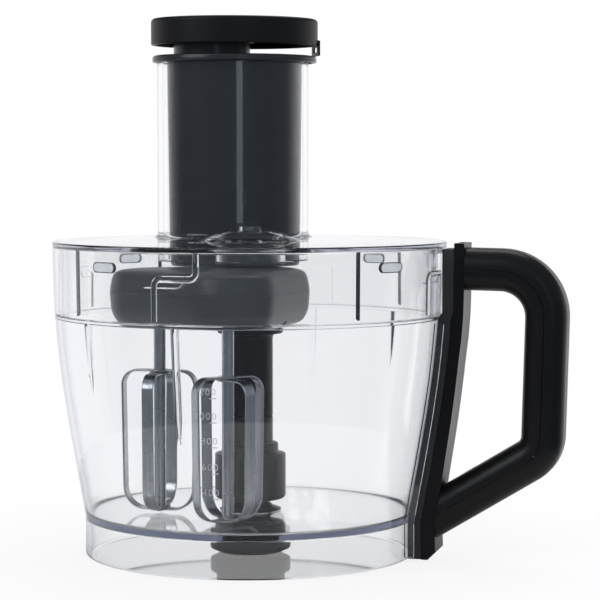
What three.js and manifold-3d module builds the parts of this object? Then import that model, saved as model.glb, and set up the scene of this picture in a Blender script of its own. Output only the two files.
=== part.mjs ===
// A food processor's working bowl with its D handle, clear lid, two-part pusher and geared
// twin-beater whisk. Millimetres, +Z up. The bowl's axis is Z, and the handle points along +X.
import * as THREE from 'three';
import { mergeVertices } from 'three/addons/utils/BufferGeometryUtils.js';
import Module from 'manifold-3d';

const wasm = await Module();
wasm.setup();

// ---------------------------------------------------------------- driving dimensions
// Clearances
const seatGap = 0.3; // between pieces that sit on or in each other
const shaftGap = 0.15; // around a shaft in its bush or hub
const slideGap = 0.4; // around pieces that slide or turn past each other

// Bowl
const skirtRadius = 73; // straight skirt under the floor
const skirtHeight = 17;
const bowlWall = 2.4;
const floorRound = 5;
const floorTop = 18.3;
const floorThickness = 2.2;
const mouthRadius = 86; // outside, at the ledge that carries the lid
const ledgeHeight = 106;
const flareAtSkirt = 0.18; // the wall's outward lean per unit of height
const flareAtMouth = 0.06;
const rimWall = 2;
const baffleHalfWidth = 1.7; // the ribs on the inside of the wall
const longBaffleAngles = [-95.5, 84.5];
const longBaffleFoot = 56.6;
const shortBaffleAngles = [-128, 52];
const shortBaffleFoot = 75;

// Lid
const lidDepth = 31.7; // from the ledge to the lid's top face
const lidPlate = 2.1;
const lidOverhang = 1; // the lid's band stands out past the bowl's mouth
const lidBandWall = 2.5;
const lidSkirtWall = 1.7;
const domeRadius = 23;
const domeRise = 4.2;
const domeFlatRadius = 8.5;
const knobSize = 8.6;
const knobRise = 2.2;
const lidWall = 1.8;
const socketDepth = 6.4; // the socket that takes the bush, under the lid's plate
const lidBushWall = 2.2;

// Bayonet
const lugSpace = 1.6; // radial room between the bowl's rim and the lid's skirt
const rimShelf = 1.5;
const lugWidth = 13.8;
const lugHeight = 4.4;
const lugDrop = 6.7; // the lug's centre under the rim's top
const lugCount = 4;
const firstLugAngle = -30;
const ribWidth = 2.2;
const dropInFree = 12.5; // turn from a lug to the straight rib behind it
const dropInAhead = 18.5; // turn from a lug to the hooked rib's lower leg
const lockedAhead = 31; // turn from a lug to the hooked rib's upper leg
const lockTurn = 25; // turn of the lid from drop-in to locked

// Feed tube and pushers
const tubeHalfLength = 35; // across the tube, outside
const tubeHalfDepth = 28; // towards the lid's centre, outside
const tubeOffset = 48.1; // from the bowl's axis
const tubeAngleLocked = 90.3;
const tubeWall = 2.4;
const tubeRise = 81.4; // above the lid's top face
const tubeDrop = 7.6; // below the lid's plate
const tubeLip = 1.5;
const tubeLipHeight = 2.6;
const tubeFootFillet = 2;
const pusherSideGap = 1.4;
const pusherDraft = 1; // taper of each side of the pusher from top to bottom
const pusherWall = 1.8;
const pusherReach = 2.4; // how far the pusher comes out under the tube
const flangeOverhang = 3;
const flangeThickness = 3.3;
const innerPusherRadius = 17.6;
const innerPusherOffset = 10.6;
const capLift = 3.1; // daylight between the flange and the cap
const capHeight = 12.6;
const capEdgeRound = 3.4;
const capOverhang = 0.6;
const capWall = 2.2;
const capCrown = 0.8; // the roof's rise from its edge to its middle
const capInsertDepth = 8;
const hookWidth = 16;
const hookDrop = 4.6;
const hookThickness = 3.6;

// Drive line
const spindleRadius = 4;
const couplingRadius = 17.8;
const couplingWaistRadius = 15.2;
const couplingNoseRadius = 14.2;
const couplingCupRadius = 10.5;
const couplingCupDepth = 7;
const couplingFootGap = 0.4; // from the base plane
const couplingChamfer = 1.8;
const couplingWaistHeight = 8;
const couplingDogs = 6;
const dogWidth = 2.6;
const dogReach = 2.4;
const bushBellRadius = 13;
const bushNeckRadius = 8;
const bushRise = 4.4;
const toolFloorGap = 0.8; // from the bush to the tool holder
const toolSkirtRadius = 15.7;
const toolSkirtHeight = 20;
const toolCollarRadius = 12.4;
const toolCollarHeight = 4.9;
const columnRadius = 10;
const columnHeight = 11.6;
const spigotRadius = 7.2;
const spigotHeight = 30;
const spigotSplines = 6;
const hubFlangeRadius = 14.5;
const hubFlangeDrop = 5.2; // the flange shows this far under the head
const hubPinRadius = 8;

// Whisk head
const headDrop = 8.8; // the head's top under the lid's plate
const headCoverHeight = 10.2;
const headTrayHeight = 14.6;
const headWall = 1.4;
const headHubRadius = 26.4;
const headLobeRadius = 21.6;
const headDirection = 239.5; // from the axis, half way between the beaters
const headBossRadius = 11;
const headScrewRadius = 1.5;
const headScrewBoss = 3;
const headScrewInset = 6; // the screw's seat above the head's underside
const headScrewReach = 3; // into the cover

// Gears
const gearModule = 1.5;
const sunTeeth = 30;
const beaterTeeth = 24;
const beaterHalfSpread = 33; // degrees each side of the head's direction
const gearWidth = 5.5;
const gearBacklash = 0.16;
const stubAddendum = 0.8; // of a module
const gearDedendum = 1;
const pressureAngle = 20;
const gearCoverGap = 1.6; // from the gears to the head's split
const gearHubWall = 3;
const clipThickness = 1;

// Beaters
const beaterShaftRadius = 2.6;
const beaterBushWall = 1.8;
const beaterBushFlange = 1.2;
const loopTopRadius = 17.2;
const loopBottomRadius = 16.2;
const loopHeight = 62;
const loopFloorGap = 1.2;
const strapWidth = 5.2;
const strapThickness = 0.9;
const loopTopCorner = 7;
const loopBottomCorner = 10;
const loopEyeRadius = 4.6;
const beaterLoopAngles = [0, 51]; // how the two beaters stand at rest

// Spine and interlock
const spineDepth = 6.6;
const spineHalfWidth = 8;
const spineStandOff = 0.9; // from the lid's band
const coverDepthAtBase = 12.5; // from the bowl's wall to the cover's outside
const coverDepthAtTop = 10.6;
const coverHalfWidth = 9;
const coverChamfer = 3.4;
const spineTopDrop = 1.3; // under the lid's top face
const spineFoot = 0.5;
const guideRibThickness = 1.8;
const guideRibReach = 3.4;
const guideRibFoot = 1.5;
const guideRibTopDrop = 3; // under the ledge
const tabHalfWidth = 5;
const tabReach = 8.5;
const tabHeight = 6.5;
const tabDrop = 5.7; // the tab's top under the lid's top face
const tabRamp = 2.6;
const tabRoom = 0.9; // all round the tab in its slot
const rodRadius = 2;
const rodHeadRadius = 2.7;
const rodHeadHeight = 3;
const rodTravel = 4;
const rodBaseOut = 6; // from the skirt's radius, at the base plane
const rodTopOut = 7; // from the lid's radius, at the rim's height
const rodFootGap = 0.6; // under the pressed rod
const rodCollarRadius = 3.3;
const rodCollarHeight = 2;
const springLength = 14;
const springWire = 0.45;
const springRadius = 2.75;
const springTurns = 6;
const springSeatHeight = 44;

// Handle
const gripReach = 132.4; // the grip's centre line from the axis
const gripLean = 1.9; // the grip comes in by this much towards its foot
const gripThickness = 18.2;
const gripWidth = 22;
const gripCorner = 7.6;
const shellWall = 2.4;
const topArmDrop = 11.2; // the arm's centre line under the lid's top face
const topArmFall = 0.7;
const upperBend = 17;
const lowerBend = 13;
const lowerBendHeight = 48;
const lowerArmFoot = 20.4;
const armOverrun = 8; // the arms start this far inside the cover and are cut back to its face
const handleScrewRadius = 1.6;
const handleScrewHead = 3;
const handleBossRadius = 3.6;
const handleScrewInset = 3.4; // the screw's seat in from the grip's outer face
const handleScrewCover = 1.4; // plastic left over the screw's tip

// Facets round a full turn
const fineFacets = 48;
const ovalFacets = 32;
const mediumFacets = 24;
const smallFacets = 12;
const headFacets = 32;
const screwFacets = 8;
const shaftFacets = 16;
const gripSteps = 26;

// ---------------------------------------------------------------- derived sizes
const lidTop = ledgeHeight + lidDepth;
const lidUnder = lidTop - lidPlate;
const rimTop = lidUnder - seatGap;
const lidRadius = mouthRadius + lidOverhang;
const lidSkirtInner = lidRadius - lidBandWall;
const rimOuter = lidSkirtInner - lugSpace;
const rimInner = rimOuter - rimWall;
const lidSkirtBottom = ledgeHeight + seatGap;
const lugCentre = rimTop - lugDrop;
const floorUnder = floorTop - floorThickness;
const shelfUnder = ledgeHeight - rimShelf; // the shelf joins the wall to the rim

const tubeAngle = tubeAngleLocked + lockTurn; // the lid is dropped in and not yet locked
const tubeBottom = lidUnder - tubeDrop;
const tubeTop = lidTop + tubeRise;
const pusherBottom = tubeBottom - pusherReach;
const flangeBottom = tubeTop + seatGap;
const flangeTop = flangeBottom + flangeThickness;
const capBottom = flangeTop + capLift;
const capTop = capBottom + capHeight;
const capRoof = capTop - capWall - capCrown;

const headTop = lidUnder - headDrop;
const headSplit = headTop - headCoverHeight;
const headBottom = headSplit - headTrayHeight;
const trayFloorTop = headBottom + headWall + 0.6;
const headScrewSeat = headBottom + headScrewInset;
const headScrewTip = headSplit + headScrewReach;
const beaterDistance = (gearModule * (sunTeeth + beaterTeeth)) / 2;
const beaterAngles = [headDirection - beaterHalfSpread, headDirection + beaterHalfSpread];
const gearTop = headSplit - gearCoverGap;
const gearBottom = gearTop - gearWidth;
const clipBottom = gearTop + seatGap;
const clipTop = clipBottom + clipThickness;

const toolBottom = floorTop + bushRise + toolFloorGap;
const toolSkirtTop = toolBottom + toolSkirtHeight;
const toolCollarTop = toolSkirtTop + toolCollarHeight;
const columnTop = toolCollarTop + columnHeight;
const spigotTop = columnTop + spigotHeight;
const sleeveBottom = columnTop + seatGap;
const hubFlangeBottom = headBottom - hubFlangeDrop;
const hubFlangeTop = trayFloorTop;
const hubPinTop = clipTop + 3;
const loopBottom = floorTop + loopFloorGap;
const beaterBushRadius = beaterShaftRadius + beaterBushWall;
const bushFlangeTop = trayFloorTop + seatGap + beaterBushFlange;

const spineTop = lidTop - spineTopDrop;
const tabTop = lidTop - tabDrop;
const tabBottom = tabTop - tabHeight;
const rodTopHeight = tabBottom - seatGap + rodTravel;
const rodFootHeight = rodTravel + rodFootGap;
const rodBaseX = skirtRadius + rodBaseOut;
const rodTopX = lidRadius + rodTopOut;
const rodTilt = Math.atan2(rodTopX - rodBaseX, rimTop);

const handleScrewSeat = handleScrewInset - gripThickness / 2;
const handleScrewTip = gripThickness / 2 - shellWall - handleScrewCover;

// ---------------------------------------------------------------- shape helpers
const radians = THREE.MathUtils.degToRad;

/** A closed geometry as a manifold solid. */
function solid(geometry) {
  const bare = geometry.index ? geometry.toNonIndexed() : geometry.clone();
  bare.deleteAttribute('normal');
  bare.deleteAttribute('uv');
  const merged = mergeVertices(bare, 1e-4);
  const index = merged.index.array;
  const triangles = [];
  for (let i = 0; i < index.length; i += 3) {
    const [a, b, c] = [index[i], index[i + 1], index[i + 2]];
    if (a !== b && b !== c && c !== a) {
      triangles.push(a, b, c);
    }
  }
  return new wasm.Manifold(
    new wasm.Mesh({
      numProp: 3,
      vertProperties: Float32Array.from(merged.attributes.position.array),
      triVerts: Uint32Array.from(triangles),
    }),
  );
}

/** A manifold solid back as a geometry. */
function geometryOf(manifold) {
  const mesh = manifold.getMesh();
  const geometry = new THREE.BufferGeometry();
  const positions = [];
  for (let i = 0; i < mesh.vertProperties.length; i += mesh.numProp) {
    positions.push(...mesh.vertProperties.slice(i, i + 3));
  }
  geometry.setAttribute('position', new THREE.Float32BufferAttribute(positions, 3));
  geometry.setIndex([...mesh.triVerts]);
  geometry.computeVertexNormals();
  return geometry;
}

function joined(...solids) {
  return solids.reduce((sum, next) => sum.add(next));
}

function cut(body, ...tools) {
  return tools.reduce((left, tool) => left.subtract(tool), body);
}

/** Corners [x, y, radius], with each radius as an arc of a few steps. */
function rounded(corners, closed = true, steps = 4) {
  const points = [];
  corners.forEach(([x, y, radius = 0], i) => {
    const last = corners.length - 1;
    if (!radius || (!closed && (i === 0 || i === last))) {
      points.push(new THREE.Vector2(x, y));
      return;
    }
    const corner = new THREE.Vector2(x, y);
    const before = new THREE.Vector2(...corners[(i + last) % corners.length].slice(0, 2));
    const after = new THREE.Vector2(...corners[(i + 1) % corners.length].slice(0, 2));
    const back = before.sub(corner).normalize();
    const ahead = after.sub(corner).normalize();
    const half = Math.acos(THREE.MathUtils.clamp(back.dot(ahead), -1, 1)) / 2;
    const reach = radius / Math.tan(half);
    const centre = back.clone().add(ahead).normalize().multiplyScalar(radius / Math.sin(half));
    centre.add(corner);
    const from = corner.clone().addScaledVector(back, reach).sub(centre);
    const to = corner.clone().addScaledVector(ahead, reach).sub(centre);
    const start = from.angle();
    const turn = Math.atan2(from.cross(to), from.dot(to));
    for (let step = 0; step <= steps; step += 1) {
      const angle = start + (turn * step) / steps;
      points.push(
        new THREE.Vector2(radius * Math.cos(angle), radius * Math.sin(angle)).add(centre),
      );
    }
  });
  return points;
}

/** A turned solid about Z from a profile of [radius, height] corners, on the axis or closed. */
function turned(corners, facets = mediumFacets, steps = 1) {
  let profile = rounded(corners, true, steps);
  if (THREE.ShapeUtils.area(profile) < 0) {
    profile.reverse();
  }
  const onAxis = (point) => point.x < 1e-6;
  if (profile.some(onAxis)) {
    const count = profile.length;
    const first = profile.findIndex((p, i) => onAxis(p) && !onAxis(profile[(i + 1) % count]));
    profile = [...profile.slice(first), ...profile.slice(0, first)];
  } else {
    profile.push(profile[0].clone());
  }
  return solid(new THREE.LatheGeometry(profile, facets).rotateX(Math.PI / 2));
}

/** An upright prism of a shape, from one height to another. */
function prism(shape, bottom, top, facets = 6) {
  const geometry = new THREE.ExtrudeGeometry(shape, {
    depth: top - bottom,
    bevelEnabled: false,
    curveSegments: facets,
  });
  return solid(geometry.translate(0, 0, bottom));
}

function box(low, high) {
  const size = high.map((value, i) => value - low[i]);
  const centre = high.map((value, i) => (value + low[i]) / 2);
  return solid(new THREE.BoxGeometry(...size).translate(...centre));
}

function rod(radius, bottom, top, facets = smallFacets) {
  return solid(
    new THREE.CylinderGeometry(radius, radius, top - bottom, facets)
      .rotateX(Math.PI / 2)
      .translate(0, 0, (top + bottom) / 2),
  );
}

/** A side view outline [x, z], given a width along Y about the middle. */
function sidePlate(corners, from, to, steps = 4) {
  const shape = new THREE.Shape(rounded(corners, true, steps));
  const geometry = new THREE.ExtrudeGeometry(shape, { depth: to - from, bevelEnabled: false });
  return solid(geometry.rotateX(Math.PI / 2).translate(0, to, 0));
}

/** A skin through convex rings of equal point count, bottom to top, closed at both ends. */
function loft(rings) {
  const count = rings[0].points.length;
  const positions = [];
  for (const { points, z } of rings) {
    for (const point of points) {
      positions.push(point.x, point.y, z);
    }
  }
  const index = [];
  for (let i = 1; i < count - 1; i += 1) {
    const top = (rings.length - 1) * count;
    index.push(0, i + 1, i, top, top + i, top + i + 1);
  }
  for (let ring = 0; ring < rings.length - 1; ring += 1) {
    for (let i = 0; i < count; i += 1) {
      const a = ring * count + i;
      const b = ring * count + ((i + 1) % count);
      index.push(a, b, b + count, a, b + count, a + count);
    }
  }
  const geometry = new THREE.BufferGeometry();
  geometry.setAttribute('position', new THREE.Float32BufferAttribute(positions, 3));
  geometry.setIndex(index);
  return solid(geometry);
}

function oval(halfLength, halfDepth) {
  return new THREE.EllipseCurve(0, 0, halfLength, halfDepth).getPoints(ovalFacets).slice(0, -1);
}

function moved(body, x, y, z = 0) {
  return body.translate([x, y, z]);
}

function spun(body, degrees) {
  return body.rotate([0, 0, degrees]);
}

function polar(radius, degrees) {
  return [radius * Math.cos(radians(degrees)), radius * Math.sin(radians(degrees))];
}

// ---------------------------------------------------------------- bowl
/** The outside of the bowl's wall, from the skirt up to the ledge. */
const wallCurve = new THREE.CubicBezierCurve(
  new THREE.Vector2(skirtRadius, skirtHeight),
  new THREE.Vector2(
    skirtRadius + (flareAtSkirt * (ledgeHeight - skirtHeight)) / 3,
    skirtHeight + (ledgeHeight - skirtHeight) / 3,
  ),
  new THREE.Vector2(
    mouthRadius - (flareAtMouth * (ledgeHeight - skirtHeight)) / 3,
    ledgeHeight - (ledgeHeight - skirtHeight) / 3,
  ),
  new THREE.Vector2(mouthRadius, ledgeHeight),
);
const wallPoints = wallCurve.getPoints(6);

function wallRadius(height) {
  if (height <= skirtHeight) {
    return skirtRadius;
  }
  const next = wallPoints.findIndex((point) => point.y >= height);
  if (next < 1) {
    return lidRadius;
  }
  const [low, high] = [wallPoints[next - 1], wallPoints[next]];
  return low.x + ((high.x - low.x) * (height - low.y)) / (high.y - low.y);
}

/** The radius of the bowl's inside, up to the shelf under the rim. */
function insideRadius(height) {
  return wallRadius(height) - bowlWall;
}

function bowlSolid() {
  const innerPoints = wallPoints
    .filter((point) => point.y > floorTop + floorRound && point.y < shelfUnder)
    .map((point) => [insideRadius(point.y), point.y]);
  const holeRadius = bushNeckRadius - 1 + seatGap;
  const shell = turned(
    [
      [skirtRadius - bowlWall, 0],
      [skirtRadius, 0],
      ...wallPoints.map((point) => [point.x, point.y]),
      [rimOuter, ledgeHeight],
      [rimOuter, rimTop],
      [rimInner, rimTop],
      [rimInner, shelfUnder],
      [insideRadius(shelfUnder), shelfUnder],
      ...innerPoints.reverse(),
      [insideRadius(floorTop), floorTop, floorRound],
      [holeRadius, floorTop],
      [holeRadius, floorUnder],
      [skirtRadius - bowlWall, floorUnder],
    ],
    fineFacets,
  );
  const lugShape = new THREE.Shape(
    rounded([
      [-lugWidth / 2, -lugHeight / 2, lugHeight * 0.45],
      [lugWidth / 2, -lugHeight / 2, lugHeight * 0.45],
      [lugWidth / 2, lugHeight / 2, lugHeight * 0.45],
      [-lugWidth / 2, lugHeight / 2, lugHeight * 0.45],
    ]),
  );
  const lugReach = rimOuter + lugSpace - slideGap;
  const lug = moved(prism(lugShape, -1, lugSpace).rotate([90, 0, 90]), rimOuter, 0, lugCentre)
    .intersect(rod(lugReach, 0, lidTop, fineFacets));
  let bowl = shell;
  for (let i = 0; i < lugCount; i += 1) {
    const angle = firstLugAngle + (i * 360) / lugCount;
    bowl = bowl.add(spun(lug, angle));
  }
  const baffles = [
    ...longBaffleAngles.map((angle) => baffle(angle, longBaffleFoot)),
    ...shortBaffleAngles.map((angle) => baffle(angle, shortBaffleFoot)),
  ];
  return joined(bowl, guideRib(1), guideRib(-1), ...baffles);
}

/** An upright rib inside the bowl, from the shelf under the rim down to where it meets the wall. */
function baffle(angle, foot) {
  const top = shelfUnder + rimShelf / 2;
  const heights = [0.75, 0.5, 0.25].map((share) => THREE.MathUtils.lerp(foot, top, share));
  const outline = [
    [insideRadius(foot), foot],
    [rimInner + seatGap, top],
    ...[top, ...heights, foot].map((z) => [insideRadius(z) + bowlWall / 2, z]),
  ];
  return spun(sidePlate(outline, -baffleHalfWidth, baffleHalfWidth), angle);
}

/** One of the two ribs on the bowl that the spine sits between. */
function guideRib(side) {
  const near = coverHalfWidth + seatGap;
  const far = near + guideRibThickness;
  const top = ledgeHeight - guideRibTopDrop;
  const atShare = (share) => THREE.MathUtils.lerp(skirtHeight, ledgeHeight, share);
  const heights = [guideRibFoot, ...[0, 0.25, 0.5, 0.75].map(atShare), top];
  const outer = heights.map((z) => [wallRadius(z) + guideRibReach, z]);
  const inner = heights.map((z) => [wallRadius(z) - bowlWall * 0.7, z]).reverse();
  const [from, to] = side > 0 ? [near, far] : [-far, -near];
  return sidePlate([...outer, ...inner], from, to);
}

// ---------------------------------------------------------------- drive line
function floorBushSolid() {
  const tubeRadius = bushNeckRadius - 1;
  return turned([
    [spindleRadius + shaftGap, floorUnder - seatGap],
    [tubeRadius, floorUnder - seatGap],
    [tubeRadius, floorTop + seatGap],
    [bushBellRadius, floorTop + seatGap],
    [bushBellRadius - 1, floorTop + 1.6, 1.2],
    [bushNeckRadius, floorTop + bushRise - 1.2, 1.6],
    [bushNeckRadius, floorTop + bushRise],
    [spindleRadius + shaftGap, floorTop + bushRise],
  ]);
}

function couplingSolid() {
  const foot = couplingFootGap;
  const waist = couplingWaistHeight;
  const top = floorUnder - 3 * seatGap;
  const body = turned([
    [couplingCupRadius, foot],
    [couplingNoseRadius, foot],
    [couplingRadius, foot + couplingChamfer, 1],
    [couplingRadius, waist, 1],
    [couplingWaistRadius, waist + 1, 0.8],
    [couplingWaistRadius, top - 1.4, 1.2],
    [couplingWaistRadius - 2.4, top],
    [spindleRadius + seatGap, top],
    [spindleRadius + seatGap, couplingCupDepth],
    [couplingCupRadius, couplingCupDepth],
  ]);
  const dog = box(
    [couplingCupRadius - dogReach, -dogWidth / 2, foot + 0.5],
    [couplingCupRadius + 1, dogWidth / 2, couplingCupDepth + 1],
  );
  let coupling = body;
  for (let i = 0; i < couplingDogs; i += 1) {
    coupling = coupling.add(spun(dog, (i * 360) / couplingDogs));
  }
  return coupling;
}

function spindleSolid() {
  return turned(
    [
      [0, 0],
      [spindleRadius - 0.6, 0],
      [spindleRadius, 0.6],
      [spindleRadius, toolSkirtTop],
      [0, toolSkirtTop],
    ],
    smallFacets,
  );
}

function toolHolderSolid() {
  const body = turned([
    [spindleRadius + seatGap, toolBottom],
    [bushNeckRadius, toolBottom],
    [bushNeckRadius + 2.4, toolBottom + 2.4],
    [toolSkirtRadius - 2.4, toolBottom],
    [toolSkirtRadius, toolBottom, 1.8],
    [toolSkirtRadius, toolSkirtTop, 0.5],
    [toolCollarRadius, toolSkirtTop + 0.2],
    [toolCollarRadius, toolCollarTop, 1],
    [columnRadius, toolCollarTop],
    [columnRadius, columnTop],
    [spigotRadius, columnTop],
    [spigotRadius, spigotTop, 1.4],
    [0, spigotTop],
    [0, toolSkirtTop + seatGap],
    [spindleRadius + seatGap, toolSkirtTop + seatGap],
  ], mediumFacets, 2);
  const spline = box(
    [spigotRadius - 1, -1.1, columnTop - 0.5],
    [spigotRadius + 0.9, 1.1, spigotTop - 4],
  );
  let holder = body;
  for (let i = 0; i < spigotSplines; i += 1) {
    holder = holder.add(spun(spline, (i * 360) / spigotSplines));
  }
  return holder;
}

function driveSleeveSolid() {
  const bore = spigotRadius + 0.9 + seatGap;
  return turned([
    [bore, sleeveBottom],
    [columnRadius, sleeveBottom],
    [columnRadius, hubFlangeBottom, 1.5],
    [hubFlangeRadius, hubFlangeBottom, 0.8],
    [hubFlangeRadius, hubFlangeTop],
    [hubPinRadius, hubFlangeTop],
    [hubPinRadius, hubPinTop],
    [0, hubPinTop],
    [0, spigotTop + slideGap],
    [bore, spigotTop + slideGap],
  ]);
}

// ---------------------------------------------------------------- gears
/** An involute spur gear outline, with a tooth centred on the given direction. */
function gearShape(teeth, toothDirection) {
  const pitchRadius = (gearModule * teeth) / 2;
  const baseRadius = pitchRadius * Math.cos(radians(pressureAngle));
  const tipRadius = pitchRadius + gearModule * stubAddendum;
  const rootRadius = pitchRadius - gearModule * gearDedendum;
  const involute = (radius) => {
    const angle = Math.acos(Math.min(1, baseRadius / Math.max(radius, baseRadius)));
    return Math.tan(angle) - angle;
  };
  const halfTooth = Math.PI / teeth / 2 - gearBacklash / (4 * pitchRadius);
  const halfAt = (radius) => halfTooth + involute(pitchRadius) - involute(radius);
  const flank = [rootRadius, tipRadius];
  const points = [];
  const place = (radius, angle) => {
    const turnedAngle = angle + radians(toothDirection);
    points.push(
      new THREE.Vector2(radius * Math.cos(turnedAngle), radius * Math.sin(turnedAngle)),
    );
  };
  for (let tooth = 0; tooth < teeth; tooth += 1) {
    const middle = (tooth * 2 * Math.PI) / teeth;
    flank.forEach((radius) => place(radius, middle - halfAt(radius)));
    flank.reverse().forEach((radius) => place(radius, middle + halfAt(radius)));
    flank.reverse();
  }
  return new THREE.Shape(points);
}

function gearSolid(teeth, toothDirection, boreRadius, hubBottom) {
  const wheel = prism(gearShape(teeth, toothDirection), gearBottom, gearTop);
  const hub = rod(boreRadius + gearHubWall, hubBottom, gearBottom + 1, mediumFacets);
  return cut(joined(wheel, hub), rod(boreRadius, hubBottom - 1, gearTop + 1, mediumFacets));
}

function clipSolid(shaftRadius, reach) {
  const ring = turned([
    [shaftRadius + shaftGap, clipBottom],
    [shaftRadius + reach, clipBottom],
    [shaftRadius + reach, clipTop],
    [shaftRadius + shaftGap, clipTop],
  ]);
  const mouth = shaftRadius * 0.5;
  return cut(ring, box([0, -mouth, clipBottom - 1], [shaftRadius + reach + 1, mouth, clipTop + 1]));
}

// ---------------------------------------------------------------- whisk head
/** The head's plan: the tight band round the hub circle and the two beater circles. */
function headOutline(inset) {
  const circles = [
    { x: 0, y: 0, radius: headHubRadius - inset },
    ...beaterAngles.map((angle) => {
      const [x, y] = polar(beaterDistance, angle);
      return { x, y, radius: headLobeRadius - inset };
    }),
  ];
  const facets = headFacets;
  const points = [];
  for (let i = 0; i < facets; i += 1) {
    const angle = (i * 2 * Math.PI) / facets;
    const direction = new THREE.Vector2(Math.cos(angle), Math.sin(angle));
    const reach = (circle) => circle.x * direction.x + circle.y * direction.y + circle.radius;
    const furthest = circles.reduce((best, next) => (reach(next) > reach(best) ? next : best));
    points.push(
      new THREE.Vector2(
        furthest.x + furthest.radius * direction.x,
        furthest.y + furthest.radius * direction.y,
      ),
    );
  }
  return points;
}

function headLoft(layers) {
  return loft(layers.map(([inset, z]) => ({ points: headOutline(inset), z })));
}

const headScrewSpots = [
  polar(beaterDistance * Math.cos(radians(beaterHalfSpread)) + 15, headDirection),
  ...beaterAngles.map((angle, i) => {
    const side = i ? 1 : -1;
    const [x, y] = polar((gearModule * sunTeeth) / 2, angle);
    const [dx, dy] = polar(headLobeRadius - headWall - 1.6, angle + side * 90);
    return [x + dx, y + dy];
  }),
];

function headTraySolid() {
  const trayLayers = [
    [6.4, headBottom],
    [3.2, headBottom + 1.6],
    [1.2, headBottom + 5],
    [0.5, headBottom + 8],
    [0, headSplit],
  ];
  const [footLayer, , ...wallLayers] = trayLayers;
  const hollowLayers = [
    [footLayer[0] + headWall, trayFloorTop],
    ...wallLayers.map(([inset, z]) => [inset + headWall, z + headWall * 0.6]),
  ];
  let tray = cut(headLoft(trayLayers), headLoft(hollowLayers));
  tray = tray.add(
    headScrewSpots
      .map(([x, y]) => moved(rod(headScrewBoss, trayFloorTop - 1, headSplit), x, y))
      .reduce((sum, boss) => sum.add(boss)),
  );
  tray = tray.subtract(rod(hubFlangeRadius + slideGap, 0, trayFloorTop + 1, mediumFacets));
  beaterAngles.forEach((angle) => {
    const [x, y] = polar(beaterDistance, angle);
    tray = tray.subtract(moved(rod(beaterBushRadius + seatGap, 0, trayFloorTop + 1), x, y));
  });
  headScrewSpots.forEach(([x, y]) => {
    tray = tray.subtract(moved(rod(headScrewRadius + shaftGap, 0, headSplit + 1), x, y));
    tray = tray.subtract(moved(rod(headScrewRadius * 1.9, 0, headScrewSeat), x, y));
  });
  return tray;
}

function headCoverSolid() {
  const bottom = headSplit + seatGap;
  const rise = headTop - bottom;
  const crown = [
    [0.1, 0],
    [0.5, 0.3],
    [1.2, 0.6],
    [2.8, 0.82],
    [7, 0.93],
    [15, 1],
  ];
  const outer = crown.map(([inset, share]) => [inset, bottom + rise * share]);
  const inner = crown
    .slice(0, 4)
    .map(([inset, share]) => [inset + headWall, bottom - 1 + (rise - headWall) * share]);
  const outside = headLoft(outer);
  let cover = cut(outside, headLoft(inner));
  const bossTop = lidUnder - 1.2;
  cover = joined(
    cover,
    turned([
      [0, bottom + 1],
      [headBossRadius, bottom + 1],
      [headBossRadius, bossTop, 1],
      [0, bossTop],
    ]),
    ...headScrewSpots.map(([x, y]) =>
      moved(rod(headScrewBoss, bottom, bottom + rise * 0.8), x, y).intersect(outside),
    ),
  );
  cover = cover.subtract(rod(hubPinRadius + slideGap, 0, hubPinTop + slideGap, mediumFacets));
  cover = cover.subtract(rod(headBossRadius + 1, 0, bottom + 1.6, mediumFacets));
  headScrewSpots.forEach(([x, y]) => {
    cover = cover.subtract(moved(rod(headScrewRadius + shaftGap, 0, headScrewTip + 0.4), x, y));
  });
  return cover;
}

function headScrewSolid([x, y]) {
  const headRadius = headScrewRadius * 1.7;
  const screw = turned(
    [
      [0, headScrewSeat - 2.6],
      [headRadius, headScrewSeat - 2.6, 0.5],
      [headRadius, headScrewSeat - seatGap],
      [headScrewRadius, headScrewSeat - seatGap],
      [headScrewRadius, headScrewTip - 1],
      [0, headScrewTip],
    ],
    screwFacets,
  );
  return moved(screw, x, y);
}

// ---------------------------------------------------------------- beaters
function beaterBushSolid() {
  const bore = beaterShaftRadius + shaftGap;
  return turned(
    [
      [bore, headBottom - 0.6],
      [beaterBushRadius, headBottom - 0.6],
      [beaterBushRadius, trayFloorTop + seatGap],
      [beaterBushRadius + 2, trayFloorTop + seatGap],
      [beaterBushRadius + 2, bushFlangeTop],
      [bore, bushFlangeTop],
    ],
    smallFacets,
  );
}

function beaterShaftSolid() {
  return turned(
    [
      [0, loopBottom - 0.6],
      [beaterShaftRadius - 0.8, loopBottom - 0.6],
      [beaterShaftRadius, loopBottom + 0.2],
      [beaterShaftRadius, clipTop + 1, 0.8],
      [0, clipTop + 1],
    ],
    shaftFacets,
  );
}

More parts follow.
